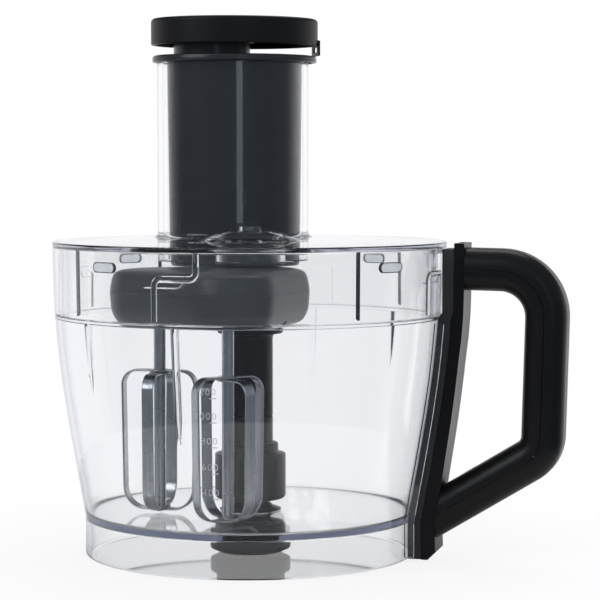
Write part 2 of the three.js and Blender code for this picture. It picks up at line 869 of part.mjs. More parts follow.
/** One flat-strap loop. The second of a pair nests inside the first where they cross. */
function beaterLoopSolid(nested) {
  const tuck = nested ? strapThickness + seatGap : 0;
  const outline = (inset) => {
    const [top, bottom] = [loopBottom + loopHeight - tuck - inset, loopBottom + tuck + inset];
    const [wide, narrow] = [loopTopRadius - inset, loopBottomRadius - inset];
    return rounded(
      [
        [-wide, top, loopTopCorner - inset],
        [wide, top, loopTopCorner - inset],
        [narrow, bottom, loopBottomCorner - inset],
        [-narrow, bottom, loopBottomCorner - inset],
      ],
      true,
      4,
    );
  };
  const shape = new THREE.Shape(outline(0));
  shape.holes.push(new THREE.Path(outline(strapThickness).reverse()));
  const geometry = new THREE.ExtrudeGeometry(shape, { depth: strapWidth, bevelEnabled: false });
  const band = solid(geometry.rotateX(Math.PI / 2).translate(0, strapWidth / 2, 0));
  const bottom = loopBottom + tuck;
  const top = loopBottom + loopHeight - tuck;
  const eyes = [rod(loopEyeRadius, bottom, bottom + strapThickness)];
  eyes.push(rod(loopEyeRadius, top - strapThickness, top));
  return cut(joined(band, ...eyes), rod(beaterShaftRadius + shaftGap, 0, top + 1, shaftFacets));
}

// ---------------------------------------------------------------- lid
/** A rib of even width along a centre line of [turn, height], on the inside of the lid's skirt. */
function skirtRib(centreLine) {
  const radius = lidSkirtInner;
  const unit = (Math.PI * radius) / 180;
  const line = rounded(
    centreLine.map(([turn, height]) => [turn * unit, height, ribWidth * 1.5]),
    false,
  );
  const dense = line.flatMap((point, i) => {
    const next = line[i + 1];
    const pieces = next ? Math.max(1, Math.round(point.distanceTo(next) / 6)) : 1;
    return Array.from({ length: pieces }, (_, k) =>
      next ? point.clone().lerp(next, k / pieces) : point,
    );
  });
  const side = (sign) =>
    dense.map((point, i) => {
      const ahead = dense[Math.min(i + 1, dense.length - 1)];
      const behind = dense[Math.max(i - 1, 0)];
      const along = ahead.clone().sub(behind).normalize();
      return new THREE.Vector2(-along.y, along.x)
        .multiplyScalar((sign * ribWidth) / 2)
        .add(point);
    });
  const shape = new THREE.Shape([...side(1), ...side(-1).reverse()]);
  const depth = lugSpace - slideGap;
  const geometry = new THREE.ExtrudeGeometry(shape, { depth: depth + 0.8, bevelEnabled: false });
  const position = geometry.attributes.position;
  for (let i = 0; i < position.count; i += 1) {
    const angle = position.getX(i) / radius;
    const reach = radius + 0.8 - position.getZ(i);
    const height = position.getY(i);
    position.setXYZ(i, reach * Math.cos(angle), reach * Math.sin(angle), height);
  }
  // Bending turns the prism's front towards the axis, so its faces are wound the other way round.
  const bent = mergeVertices(stripped(geometry), 1e-4);
  const index = bent.index.array;
  for (let i = 0; i < index.length; i += 3) {
    [index[i], index[i + 1]] = [index[i + 1], index[i]];
  }
  return solid(bent);
}

function stripped(geometry) {
  const bare = geometry.index ? geometry.toNonIndexed() : geometry;
  bare.deleteAttribute('normal');
  bare.deleteAttribute('uv');
  return bare;
}

/** Moves a solid from the feed tube's own frame to the bowl's. */
function atTube(body) {
  const [x, y] = polar(tubeOffset, tubeAngle);
  return moved(spun(body, tubeAngle - 90), x, y);
}

function tubeOval(grow, z) {
  return { points: oval(tubeHalfLength + grow, tubeHalfDepth + grow), z };
}

function lidSolid() {
  const plateAndSkirt = turned(
    [
      [0, lidUnder],
      [lidSkirtInner, lidUnder],
      [lidSkirtInner, lidSkirtBottom],
      [lidSkirtInner + lidSkirtWall, lidSkirtBottom],
      [lidRadius, lidTop, 0.8],
      [0, lidTop],
    ],
    fineFacets,
    2,
  );
  const dome = turned(
    [
      [0, lidUnder],
      [domeRadius, lidUnder],
      [domeRadius, lidTop],
      [domeRadius * 0.72, lidTop + domeRise * 0.55, 10],
      [domeFlatRadius, lidTop + domeRise],
      [0, lidTop + domeRise],
    ],
    mediumFacets,
    3,
  );
  const socketInner = headBossRadius + seatGap + lidBushWall + slideGap;
  const socket = turned([
    [socketInner, lidUnder - socketDepth],
    [socketInner + lidWall, lidUnder - socketDepth],
    [socketInner + lidWall, lidUnder + 1],
    [socketInner, lidUnder + 1],
  ]);
  const underDome = turned([
    [0, lidUnder - 1],
    [socketInner, lidUnder - 1],
    [socketInner, lidTop - lidWall + 0.6],
    [domeFlatRadius, lidTop + domeRise - lidWall],
    [0, lidTop + domeRise - lidWall],
  ]);
  const half = knobSize / 2;
  const knobTop = lidTop + domeRise + knobRise;
  const knobShape = new THREE.Shape(
    rounded([
      [-half, -half, 1.4],
      [half, -half, 1.4],
      [half, half, 1.4],
      [-half, half, 1.4],
    ]),
  );
  const knob = spun(prism(knobShape, lidTop + domeRise - 0.5, knobTop), tubeAngle);
  const tube = atTube(
    loft([
      tubeOval(0, tubeBottom),
      tubeOval(0, tubeTop - tubeLipHeight - tubeLip),
      tubeOval(tubeLip, tubeTop - tubeLipHeight),
      tubeOval(tubeLip, tubeTop),
    ]),
  );
  const foot = atTube(
    loft([
      tubeOval(tubeFootFillet, lidTop - 0.5),
      tubeOval(tubeFootFillet, lidTop),
      tubeOval(0, lidTop + tubeFootFillet),
    ]),
  );
  const passage = atTube(loft([tubeOval(-tubeWall, 0), tubeOval(-tubeWall, tubeTop + 1)]));
  let lid = joined(cut(joined(plateAndSkirt, dome), underDome), socket, knob, tube, foot);
  lid = lid.subtract(passage);
  const hookLevel = lugCentre - lugHeight / 2 - slideGap - ribWidth / 2;
  for (let i = 0; i < lugCount; i += 1) {
    const lugAngle = firstLugAngle + (i * 360) / lugCount;
    const straight = skirtRib([
      [-dropInFree, lidSkirtBottom + 1],
      [-dropInFree, lidUnder + 0.5],
    ]);
    const hooked = skirtRib([
      [dropInAhead, lidSkirtBottom + 1],
      [dropInAhead, hookLevel],
      [lockedAhead, hookLevel],
      [lockedAhead, lidUnder + 0.5],
    ]);
    lid = joined(lid, spun(straight, lugAngle), spun(hooked, lugAngle));
  }
  return lid.add(spun(interlockTab(), lockTurn));
}

/** The tab on the lid's skirt. Its leading edge is a ramp that presses the rod down. */
function interlockTab() {
  const shape = new THREE.Shape(
    rounded([
      [tabHalfWidth, tabBottom],
      [tabHalfWidth, tabTop, 1],
      [-tabHalfWidth, tabTop, 1],
      [-tabHalfWidth, tabBottom + tabRamp],
      [-1, tabBottom],
    ]),
  );
  return prism(shape, lidSkirtInner + lidSkirtWall / 2, lidRadius + tabReach).rotate([90, 0, 90]);
}

function lidBushSolid() {
  const inner = headBossRadius + seatGap;
  const bottom = lidUnder - socketDepth;
  return turned([
    [inner, bottom - 1.4],
    [inner + lidBushWall + slideGap + lidWall, bottom - 1.4, 0.5],
    [inner + lidBushWall + slideGap + lidWall, bottom - seatGap],
    [inner + lidBushWall, bottom - seatGap],
    [inner + lidBushWall, lidUnder + 0.6],
    [inner, lidUnder + 0.6],
  ]);
}

// ---------------------------------------------------------------- pushers
function mainPusherSolid() {
  const [length, depth] = [tubeHalfLength - tubeWall, tubeHalfDepth - tubeWall];
  const side = (grow, z) => ({
    points: oval(length - pusherSideGap + grow, depth - pusherSideGap + grow),
    z,
  });
  const flangeOval = (grow, z) => ({
    points: oval(tubeHalfLength + flangeOverhang + grow, tubeHalfDepth + flangeOverhang + grow),
    z,
  });
  const body = loft([
    side(-pusherDraft - 0.8, pusherBottom),
    side(-pusherDraft, pusherBottom + 0.8),
    side(0, flangeBottom + 1),
  ]);
  const flange = loft([
    flangeOval(0, flangeBottom),
    flangeOval(0, flangeTop - 0.8),
    flangeOval(-0.8, flangeTop),
  ]);
  const hollow = loft([
    side(-pusherDraft - pusherWall, pusherBottom + pusherWall),
    side(-pusherWall, flangeTop + 1),
  ]);
  const boreRadius = innerPusherRadius + slideGap;
  const sleeve = moved(
    rod(boreRadius + pusherWall, pusherBottom, flangeTop, mediumFacets),
    -innerPusherOffset,
    0,
  );
  const outside = loft([side(-pusherDraft, pusherBottom - 1), side(0, flangeTop + 1)]);
  const bore = moved(rod(boreRadius, 0, flangeTop + 1, mediumFacets), -innerPusherOffset, 0);
  return cut(joined(cut(joined(body, flange), hollow), sleeve.intersect(outside)), bore);
}

function innerPusherSolid() {
  const top = capRoof - seatGap;
  const pusher = turned([
    [0, pusherBottom],
    [innerPusherRadius, pusherBottom, 0.8],
    [innerPusherRadius, top],
    [innerPusherRadius - pusherWall, top],
    [innerPusherRadius - pusherWall, pusherBottom + pusherWall],
    [0, pusherBottom + pusherWall],
  ]);
  return moved(pusher, -innerPusherOffset, 0);
}

function pusherCapSolid() {
  const [length, depth] = [
    tubeHalfLength + flangeOverhang + capOverhang,
    tubeHalfDepth + flangeOverhang + capOverhang,
  ];
  const capOval = (inset, z) => ({ points: oval(length - inset, depth - inset), z });
  const roundLayers = [0, 30, 60, 90].map((degrees) => {
    const inset = capEdgeRound * (1 - Math.cos(radians(degrees)));
    return capOval(inset, capTop - capCrown - capEdgeRound * (1 - Math.sin(radians(degrees))));
  });
  const outer = loft([
    capOval(0.3, capBottom),
    capOval(0, capBottom + 0.5),
    ...roundLayers,
    capOval(depth * 0.44, capTop - 0.15),
    capOval(depth * 0.76, capTop),
  ]);
  const hollow = loft([
    capOval(capWall, capBottom - 1),
    capOval(capWall, capTop - capEdgeRound - 1.6),
    capOval(capWall + 3, capRoof),
  ]);
  const boreRadius = innerPusherRadius + seatGap;
  const socket = moved(
    cut(
      rod(boreRadius + capWall, capRoof - capInsertDepth, capRoof + 0.6, mediumFacets),
      rod(boreRadius, 0, capRoof, mediumFacets),
    ),
    -innerPusherOffset,
    0,
  );
  const hookOut = length + hookThickness - 1.2;
  const hook = sidePlate(
    [
      [length - 3, capBottom + 3],
      [length - 3, capBottom + 6],
      [hookOut, capBottom + 6, 2],
      [hookOut, capBottom - hookDrop, 0.8],
      [hookOut - hookThickness + 1.4, capBottom - hookDrop, 0.6],
      [hookOut - hookThickness + 1.4, capBottom + 3],
    ],
    -hookWidth / 2,
    hookWidth / 2,
  );
  const window = box(
    [length - 2, -hookWidth / 4, capBottom - hookDrop + 1.4],
    [hookOut + 1, hookWidth / 4, capBottom - 0.6],
  );
  return joined(cut(outer, hollow), socket.intersect(outer), cut(hook, window));
}

// ---------------------------------------------------------------- spine and interlock
const sideHeights = [0, 0.12, 0.3, 0.5, 0.7, 0.88, 1].map((share) => share * ledgeHeight);

function spineInner(height) {
  return height < ledgeHeight ? wallRadius(height) + seatGap : lidRadius + spineStandOff;
}

function spineOuter(height) {
  return height < ledgeHeight ? wallRadius(height) + spineDepth : lidRadius + spineDepth;
}

function coverOuter(height) {
  const share = Math.min(1, height / ledgeHeight);
  const depth = coverDepthAtBase + (coverDepthAtTop - coverDepthAtBase) * share;
  return (height < ledgeHeight ? wallRadius(height) : lidRadius) + depth;
}

/** Side view edge of the spine or its cover, bottom to top. */
function sideEdge(reach) {
  const upper = [ledgeHeight + 1, spineTop];
  return [...sideHeights.slice(0, -1), ...upper].map((z) => [reach(z), Math.max(z, spineFoot)]);
}

/** Turns a solid made along Z into the rod's line through the spine. */
function alongRod(body) {
  const degrees = THREE.MathUtils.radToDeg(rodTilt);
  return moved(body.rotate([0, degrees, 0]), rodBaseX, 0);
}

const alongRodLength = (height) => height / Math.cos(rodTilt);

/** A groove for the rod, open on one side: 1 away from the bowl, -1 towards it. */
function rodGroove(radius, bottom, top, openSide) {
  const half = radius + slideGap;
  const [from, to] = openSide > 0 ? [-half, spineDepth] : [-spineDepth, half];
  return box([from, -half, bottom], [to, half, top]);
}

/** Room in the spine or its cover for the rod, its collar, its spring and its head. */
function rodRoom(openSide) {
  const seat = alongRodLength(springSeatHeight);
  const collarTop = seat + springLength + rodCollarHeight + rodTravel;
  const headBase = alongRodLength(rodTopHeight) - rodHeadHeight - rodTravel - 1;
  return alongRod(
    joined(
      rodGroove(rodRadius, -spineDepth, alongRodLength(spineTop) + spineDepth, openSide),
      rodGroove(rodCollarRadius, seat, collarTop, openSide),
      rodGroove(rodHeadRadius, headBase, alongRodLength(tabTop), openSide),
    ),
  );
}

/** The way the lid's tab takes through the spine, open on the side that it comes in from. */
function tabSlot() {
  return box(
    [lidSkirtInner, -tabHalfWidth - tabRoom, tabBottom - tabRoom],
    [lidRadius + tabReach + tabRoom, coverHalfWidth + 1, tabTop + tabRoom],
  );
}

function spineSolid() {
  const inner = sideEdge(spineInner);
  const outer = sideEdge((z) => spineOuter(z) - seatGap);
  const plate = sidePlate([...outer, ...inner.reverse()], -spineHalfWidth, spineHalfWidth);
  return cut(plate, rodRoom(1), tabSlot());
}

function spineCoverSolid() {
  const inner = sideEdge(spineOuter);
  const outer = sideEdge(coverOuter);
  const [footX] = outer[0];
  outer.splice(0, 1, [footX - coverChamfer, spineFoot], [footX, spineFoot + coverChamfer]);
  const plate = sidePlate([...outer, ...inner.reverse()], -coverHalfWidth, coverHalfWidth);
  return cut(plate, rodRoom(-1), tabSlot());
}

function interlockRodSolid() {
  const foot = alongRodLength(rodFootHeight);
  const top = alongRodLength(rodTopHeight);
  const collar = alongRodLength(springSeatHeight) + springLength + seatGap;
  return alongRod(
    turned(
      [
        [0, foot],
        [rodRadius, foot, 0.8],
        [rodRadius, collar],
        [rodCollarRadius, collar],
        [rodCollarRadius, collar + rodCollarHeight],
        [rodRadius, collar + rodCollarHeight],
        [rodRadius, top - rodHeadHeight],
        [rodHeadRadius, top - rodHeadHeight],
        [rodHeadRadius, top, 0.8],
        [0, top],
      ],
      smallFacets,
    ),
  );
}

class SpringLine extends THREE.Curve {
  getPoint(t, target = new THREE.Vector3()) {
    const angle = t * springTurns * 2 * Math.PI;
    const rise = springLength - 2 * springWire;
    const z = springWire + t * rise;
    return target.set(springRadius * Math.cos(angle), springRadius * Math.sin(angle), z);
  }
}

function springSolid() {
  const section = new THREE.Shape().absarc(0, 0, springWire, 0, Math.PI * 2);
  const coil = new THREE.ExtrudeGeometry(section, {
    steps: springTurns * 9,
    extrudePath: new SpringLine(),
    curveSegments: 2,
  });
  const seat = alongRodLength(springSeatHeight) + seatGap / 2;
  return alongRod(moved(solid(coil), 0, 0, seat));
}

// ---------------------------------------------------------------- handle
/** The grip's centre line in side view, from the spine's cover round to its foot. */
function handleLine() {
  const armHeight = lidTop - topArmDrop;
  const footReach = gripReach - gripLean - coverOuter(lowerArmFoot);
  const footSlope = (lowerBendHeight - lowerArmFoot) / footReach;
  const corners = [
    [coverOuter(armHeight) - armOverrun / 2, armHeight],
    [gripReach + 0.6, armHeight - topArmFall, upperBend],
    [gripReach - gripLean, lowerBendHeight, lowerBend],
    [coverOuter(lowerArmFoot) - armOverrun, lowerArmFoot - armOverrun * footSlope],
  ];
  const path = new THREE.CurvePath();
  const points = rounded(corners, false, 8).map((point) => new THREE.Vector3(point.x, 0, point.y));
  points.slice(1).forEach((point, i) => path.add(new THREE.LineCurve3(points[i], point)));
  return { path, corners };
}

/** Half of the hollow grip's section: inward 1 faces the fingers, -1 faces out. */
function handleSection(inward) {
  const half = (inset, steps) => {
    const [wide, thick] = [gripWidth / 2 - inset, gripThickness / 2 - inset];
    return rounded(
      [
        [wide, seatGap / 2],
        [wide, thick, gripCorner - inset],
        [-wide, thick, gripCorner - inset],
        [-wide, seatGap / 2],
      ],
      false,
      steps,
    );
  };
  const points = [...half(0, 3), ...half(shellWall, 1).reverse()];
  return new THREE.Shape(points.map((point) => new THREE.Vector2(point.x, point.y * inward)));
}

/** Everything on the bowl's side of the cover's outer face, which the arms stop at. */
function spineKeepOut() {
  const [low, high] = [-gripReach, lidTop + gripReach];
  const edge = sideEdge((z) => coverOuter(z) + seatGap);
  edge.unshift([coverOuter(0) + seatGap, low]);
  edge.push([coverOuter(spineTop) + seatGap, high]);
  return sidePlate([...edge, [0, high], [0, low]], -gripWidth, gripWidth);
}

/** The two places where a screw joins the grip's halves, with the arm's direction in degrees. */
function handleScrewSpots() {
  const { corners } = handleLine();
  const [start, upper, lower, foot] = corners;
  const spot = (from, to, share) => {
    const along = new THREE.Vector2(to[0] - from[0], to[1] - from[1]);
    const place = new THREE.Vector2(from[0], from[1]).addScaledVector(along, share);
    along.normalize();
    return { x: place.x, z: place.y, turn: THREE.MathUtils.radToDeg(along.angle()) };
  };
  return [spot(start, upper, 0.48), spot(lower, foot, 0.5)];
}

/** Puts a solid made along Z, with Z pointing out of the grip, at a screw spot. */
function atHandle(body, spot) {
  return moved(body.rotate([0, -spot.turn, 0]), spot.x, 0, spot.z);
}

function handleShellSolid(inward) {
  const { path } = handleLine();
  const sweep = new THREE.ExtrudeGeometry(handleSection(inward), {
    steps: gripSteps,
    extrudePath: path,
    curveSegments: 4,
  });
  let shell = solid(sweep);
  const bossReach = gripThickness / 2 - shellWall / 2;
  for (const spot of handleScrewSpots()) {
    const from = inward > 0 ? -bossReach : seatGap / 2;
    const to = inward > 0 ? -seatGap / 2 : bossReach;
    shell = shell.add(atHandle(rod(handleBossRadius, from, to), spot));
    const hole = rod(handleScrewRadius + shaftGap, -gripThickness, handleScrewTip + slideGap);
    const counterbore = rod(handleScrewHead + seatGap, -gripThickness, handleScrewSeat);
    shell = cut(shell, atHandle(hole, spot), atHandle(counterbore, spot));
  }
  return cut(shell, spineKeepOut());
}

function handleScrewSolid(spot) {
  const screw = turned(
    [
      [0, handleScrewSeat - 2],
      [handleScrewHead * 0.7, handleScrewSeat - 2],
      [handleScrewHead, handleScrewSeat - 1],
      [handleScrewHead, handleScrewSeat - seatGap],
      [handleScrewRadius, handleScrewSeat - seatGap],
      [handleScrewRadius, handleScrewTip - 1.2],
      [0, handleScrewTip],
    ],
    screwFacets,
  );
  return atHandle(screw, spot);
}

// ---------------------------------------------------------------- the scene
const finishes = {
  clear: { color: 0xdfe4ee, roughness: 0.08, metalness: 0, transparent: true, opacity: 0.3 },
  black: { color: 0x1a1a1b, roughness: 0.5, metalness: 0 },
  charcoal: { color: 0x2d2e30, roughness: 0.5, metalness: 0 },
  grey: { color: 0x3c3d40, roughness: 0.45, metalness: 0 },
  nylon: { color: 0xd8d4c8, roughness: 0.5, metalness: 0 },
  steel: { color: 0xb4b6b9, roughness: 0.25, metalness: 1 },
};

const model = new THREE.Group();

function add(name, body, finish, parent = model) {
  const mesh = new THREE.Mesh(geometryOf(body), new THREE.MeshStandardMaterial(finishes[finish]));
  mesh.name = name;
  parent.add(mesh);
  return mesh;
}

// Bowl and handle
add('bowl', bowlSolid(), 'clear');
add('floor_bush', floorBushSolid(), 'charcoal');
add('handle_spine', spineSolid(), 'charcoal');
add('spine_cover', spineCoverSolid(), 'black');
add('handle_inner_shell', handleShellSolid(1), 'black');
add('handle_outer_shell', handleShellSolid(-1), 'black');
handleScrewSpots().forEach((spot, i) => {
  add(`handle_screw_${i + 1}`, handleScrewSolid(spot), 'steel');
});
add('interlock_rod', interlockRodSolid(), 'charcoal');
add('rod_spring', springSolid(), 'steel');

// Drive line
const sunPhase = beaterAngles[0];
add('drive_coupling', couplingSolid(), 'charcoal');
add('drive_spindle', spindleSolid(), 'steel');
add('drive_shaft', toolHolderSolid(), 'grey');
add('drive_sleeve', driveSleeveSolid(), 'black');
const sunGear = gearSolid(sunTeeth, sunPhase, hubPinRadius + shaftGap, hubFlangeTop + seatGap);
add('sun_gear', sunGear, 'nylon');
add('sleeve_clip', clipSolid(hubPinRadius, 2), 'steel');

// Whisk head
add('head_lower_housing', headTraySolid(), 'grey');
add('head_upper_cover', headCoverSolid(), 'grey');
headScrewSpots.forEach((spot, i) => {
  add(`head_screw_${i + 1}`, headScrewSolid(spot), 'steel');
});

// Beaters
beaterAngles.forEach((angle, i) => {
  const beater = new THREE.Group();
  const [x, y] = polar(beaterDistance, angle);
  beater.position.set(x, y, 0);
  model.add(beater);
  const sunStep = (angle - sunPhase) / (360 / sunTeeth);
  const toothDirection = angle + 180 - (360 / beaterTeeth) * (0.5 - sunStep);
  const gear = gearSolid(
    beaterTeeth,
    toothDirection,
    beaterShaftRadius + shaftGap,
    bushFlangeTop + seatGap,
  );
  const name = `beater_${i + 1}`;
  add(`${name}_bush`, beaterBushSolid(), 'nylon', beater);
  add(`${name}_shaft`, beaterShaftSolid(), 'steel', beater);
  add(`${name}_gear`, gear, 'nylon', beater);
  add(`${name}_clip`, clipSolid(beaterShaftRadius, 1.8), 'steel', beater);
  const loops = new THREE.Group();
  loops.rotation.z = radians(beaterLoopAngles[i]);
  beater.add(loops);
  add(`${name}_loop_a`, beaterLoopSolid(false), 'steel', loops);
  add(`${name}_loop_b`, beaterLoopSolid(true), 'steel', loops).rotation.z = Math.PI / 2;
});

// Lid
add('lid', lidSolid(), 'clear');
add('lid_bush', lidBushSolid(), 'nylon');

// Pushers, in the feed tube's own frame
const tubeGroup = new THREE.Group();
tubeGroup.position.set(...polar(tubeOffset, tubeAngle), 0);
tubeGroup.rotation.z = radians(tubeAngle - 90);
model.add(tubeGroup);
add('main_pusher', mainPusherSolid(), 'grey', tubeGroup);
add('small_pusher', innerPusherSolid(), 'grey', tubeGroup);
add('pusher_cap', pusherCapSolid(), 'black', tubeGroup);

export default model;
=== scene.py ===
"""Looks for the food processor bowl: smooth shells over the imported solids, procedural
finishes, a white studio and the photograph's camera. Sizes are millimetres until a mesh is made."""

from math import atan2, cos, degrees, pi, radians, sin, sqrt, tan

import bmesh
import bpy
from mathutils import Matrix, Vector


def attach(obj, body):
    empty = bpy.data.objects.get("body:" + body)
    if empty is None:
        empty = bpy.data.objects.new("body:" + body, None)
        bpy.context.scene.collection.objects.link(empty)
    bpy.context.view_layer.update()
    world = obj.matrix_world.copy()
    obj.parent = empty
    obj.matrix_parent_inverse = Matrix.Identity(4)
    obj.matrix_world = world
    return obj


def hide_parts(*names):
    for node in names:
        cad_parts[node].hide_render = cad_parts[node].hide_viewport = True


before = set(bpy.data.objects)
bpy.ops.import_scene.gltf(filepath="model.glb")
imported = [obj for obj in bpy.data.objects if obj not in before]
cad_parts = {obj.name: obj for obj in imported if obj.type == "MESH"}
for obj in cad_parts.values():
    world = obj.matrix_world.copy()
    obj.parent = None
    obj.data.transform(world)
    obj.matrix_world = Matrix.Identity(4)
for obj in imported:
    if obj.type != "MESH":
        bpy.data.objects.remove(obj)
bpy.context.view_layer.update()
SCENE, MM = bpy.context.scene, 0.001

# ---- sizes shared with the solids
SEAT_GAP, SLIDE_GAP = 0.3, 0.4

SKIRT_R, SKIRT_TOP = 73.0, 17.0
FLOOR_TOP, FLOOR_UNDER, FLOOR_ROUND, FLOOR_HOLE = 18.3, 16.1, 2.0, 12.9
MOUTH_R, LEDGE = 86.0, 106.0
BOWL_WALL = 2.4
SHELF_UNDER = LEDGE - 1.5
BAFFLE_HALF = 1.7
LONG_BAFFLES, LONG_FOOT = (-95.5, 84.5), 56.6
SHORT_BAFFLES, SHORT_FOOT = (-128.0, 52.0), 75.0
RIM_OUTER, RIM_INNER, RIM_TOP = 82.9, 80.9, 135.3
FLARE_LOW, FLARE_HIGH = 0.18, 0.06
RAIL_NEAR, RAIL_FAR, RAIL_OUT, RAIL_IN = 9.3, 11.1, 3.4, 1.4
RAIL_HEIGHTS = [1.5, 10, SKIRT_TOP, 28, 40, 52, 64, 76, 88, 103]

LID_TOP, LID_UNDER, LID_R = 137.7, 135.6, 87.0
SKIRT_IN, SKIRT_WALL, SKIRT_BOTTOM = 84.5, 1.7, 106.3
LUG_Z, LUG_W, LUG_H, LUG_OUT, FIRST_LUG = 128.6, 13.8, 4.4, 1.2, -30.0
RIB_W, RIB_REACH = 2.7, 1.2
HOOK_NEAR, HOOK_FAR, STRAIGHT_RIB = 18.5, 31.0, -12.5
LEAD_IN, LEAD_IN_END, STRAIGHT_HALF = [(15.2, 121.1), (26, 121.1)], 28.2, 0.75
DOME_R, DOME_RISE, DOME_FLAT = 23.0, 4.2, 8.5
SOCKET_IN, SOCKET_OUT, SOCKET_LOW, SOCKET_HIGH = 13.9, 15.7, 129.2, 136.4
KNOB_HALF, KNOB_CORNER, KNOB_RISE = 4.3, 1.6, 2.2
LOCK_TURN, TAB_OUT = 25.0, 8.5

TUBE_TURN = 115.3
TUBE_OFFSET = 48.1
TUBE_A, TUBE_B, TUBE_WALL = 35.0, 28.0, 2.4
TUBE_BOTTOM, TUBE_FLARE, TUBE_TOP = 128.0, 218.0, 219.1
FLANGE_LOW, FLANGE_TOP, FLANGE_LIP = 219.4, 221.0, 217.9
FLANGE_OVER, RIM_RECESS = 3.0, 1.3
PUSHER_BOTTOM, PUSHER_PLAY, PUSHER_SHIFT = 125.6, 1.4, 0.8
CAP_BOTTOM, CAP_TOP, CAP_ROOF, CAP_OVER = 225.8, 238.4, 235.4, 3.6
INNER_R, INNER_OFF, INNER_WALL = 17.6, -10.6, 1.8
SLEEVE_R, SLEEVE_BORE = 19.8, 18.0
CAP_SOCKET_IN, CAP_SOCKET_OUT, CAP_EDGE, CAP_CROWN = 17.9, 20.1, 1.7, 0.5

HEAD_BOTTOM, HEAD_SPLIT, HEAD_TOP = 102.0, 116.6, 126.8
HUB_R, POD_R = 26.4, 21.6
HEAD_TURN, BEATER_SPREAD, BEATER_DIST = 239.5, 33.0, 40.5
BEATER_TURNS = (HEAD_TURN - BEATER_SPREAD, HEAD_TURN + BEATER_SPREAD)
LOOP_BOTTOM, LOOP_HIGH = 19.5, 62.0
LOOP_TURNS = (0.0, 51.0)
LOOP_HALF_TOP, LOOP_HALF_LOW, BEND_TOP, BEND_LOW = 17.2, 16.2, 7.0, 10.0
STRAP_W, STRAP_T, STRAP_EDGE = 5.2, 0.9, 0.36
EYE_R, EYE_HOLE = 4.6, 2.72
SCREW_R, SCREW_HEAD_R, POST_R, PIN_R = 1.65, 2.85, 3.0, 2.2
HEAD_BORE_R, BEARING_R, POST_LOW = 14.9, 4.7, 106.0
BOSS_IN, BOSS_OUT, BOSS_TOP = 8.4, 11.0, LID_UNDER - 1.2

GRIP_X, GRIP_LEAN, GRIP_THICK, GRIP_WIDE = 132.2, 1.5, 18.2, 22.0
GRIP_CORNER, GRIP_WALL, SEAM_LIP, SEAM_HALF = 7.6, 2.4, 0.2, 0.07
GRIP_LOW, FOOT_Z = 48.0, 20.4
SPINE_DEPTH, SPINE_HALF, COVER_HALF = 6.2, 8.0, 9.0
COVER_BASE, COVER_TOP = 12.5, 10.6
SPINE_TOP, CHANNEL_TOP, STRIP_TOP = 136.4, 135.0, 137.6
SIDE_HEIGHTS = [0.5, 8, 17, 24, 32, 40, 48, 56, 64, 72, 80, 88, 96, 105.5]
UPPER_HEIGHTS = [107.5, 112, 116, 120]
TAB_SLOT = (84.5, 96.4, 124.6, 132.9)
ROD_FOOT, ROD_LEAN = 79.0, 15.0
ROD_SPACES = ((2.4, -6, 146), (3.7, 44.3, 64.5), (3.1, 121.6, 132.8))

MARKS = {"400": 36.7, "600": 47.5, "800": 58.5, "1000": 68.9, "1200": 79.0}
MARK_TURN, MARK_SIZE, MARK_LIFT, MARK_RAISED = -83.6, 4.1, 0.2, 0.12
TICK_LONG, TICK_HALF, TICK_DROP = 2.9, 0.18, 2.6

# ---- mesh helpers


def polar(radius, turn):
    """The x and y of a point at a radius and at a turn in degrees."""
    return radius * cos(radians(turn)), radius * sin(radians(turn))


def rounded(corners, closed=True, steps=6):
    """Points along a path of (x, y[, radius]) corners, each radius turned into an arc."""
    points, count = [], len(corners)
    for i, corner in enumerate(corners):
        radius = corner[2] if len(corner) > 2 else 0
        here = Vector(corner[:2])
        if not radius or (not closed and i in (0, count - 1)):
            points.append(here)
            continue
        back = (Vector(corners[i - 1][:2]) - here).normalized()
        ahead = (Vector(corners[(i + 1) % count][:2]) - here).normalized()
        half = back.angle(ahead) / 2
        centre = here + (back + ahead).normalized() * (radius / sin(half))
        start = here + back * (radius / tan(half)) - centre
        end = here + ahead * (radius / tan(half)) - centre
        turn = atan2(start.cross(end), start.dot(end))
        for step in range(steps + 1):
            points.append(centre + Matrix.Rotation(turn * step / steps, 2) @ start)
    return points


def rectangle(left, right, low, high, corner=0):
    """The corners of a rectangle, for rounded, lathe, prism or side_plate."""
    return [(x, y, corner) for x, y in ((left, low), (right, low), (right, high), (left, high))]


def resample(points, spacing, closed=False):
    """Adds points along a path, so that they lie about the spacing apart."""
    dense = []
    for here, nxt in zip(points, points[1:] + (points[:1] if closed else [])):
        pieces = max(1, round((nxt - here).length / spacing))
        dense += [here.lerp(nxt, k / pieces) for k in range(pieces)]
    return dense if closed else dense + [points[-1]]


def heading(path, i):
    """The direction of an open path at its point i."""
    return (path[min(i + 1, len(path) - 1)] - path[max(i - 1, 0)]).normalized()


def add_object(name, data):
    """Puts a mesh, text, lamp or camera in the scene."""
    thing = bpy.data.objects.new(name, data)
    SCENE.collection.objects.link(thing)
    return thing


def mesh_from(name, vertices, faces):
    mesh = bpy.data.meshes.new(name)
    mesh.from_pydata([Vector(v) * MM for v in vertices], [], faces)
    work = bmesh.new()
    work.from_mesh(mesh)
    bmesh.ops.remove_doubles(work, verts=work.verts, dist=1e-7)
    bmesh.ops.recalc_face_normals(work, faces=work.faces)
    work.to_mesh(mesh)
    work.free()
    return add_object(name, mesh)


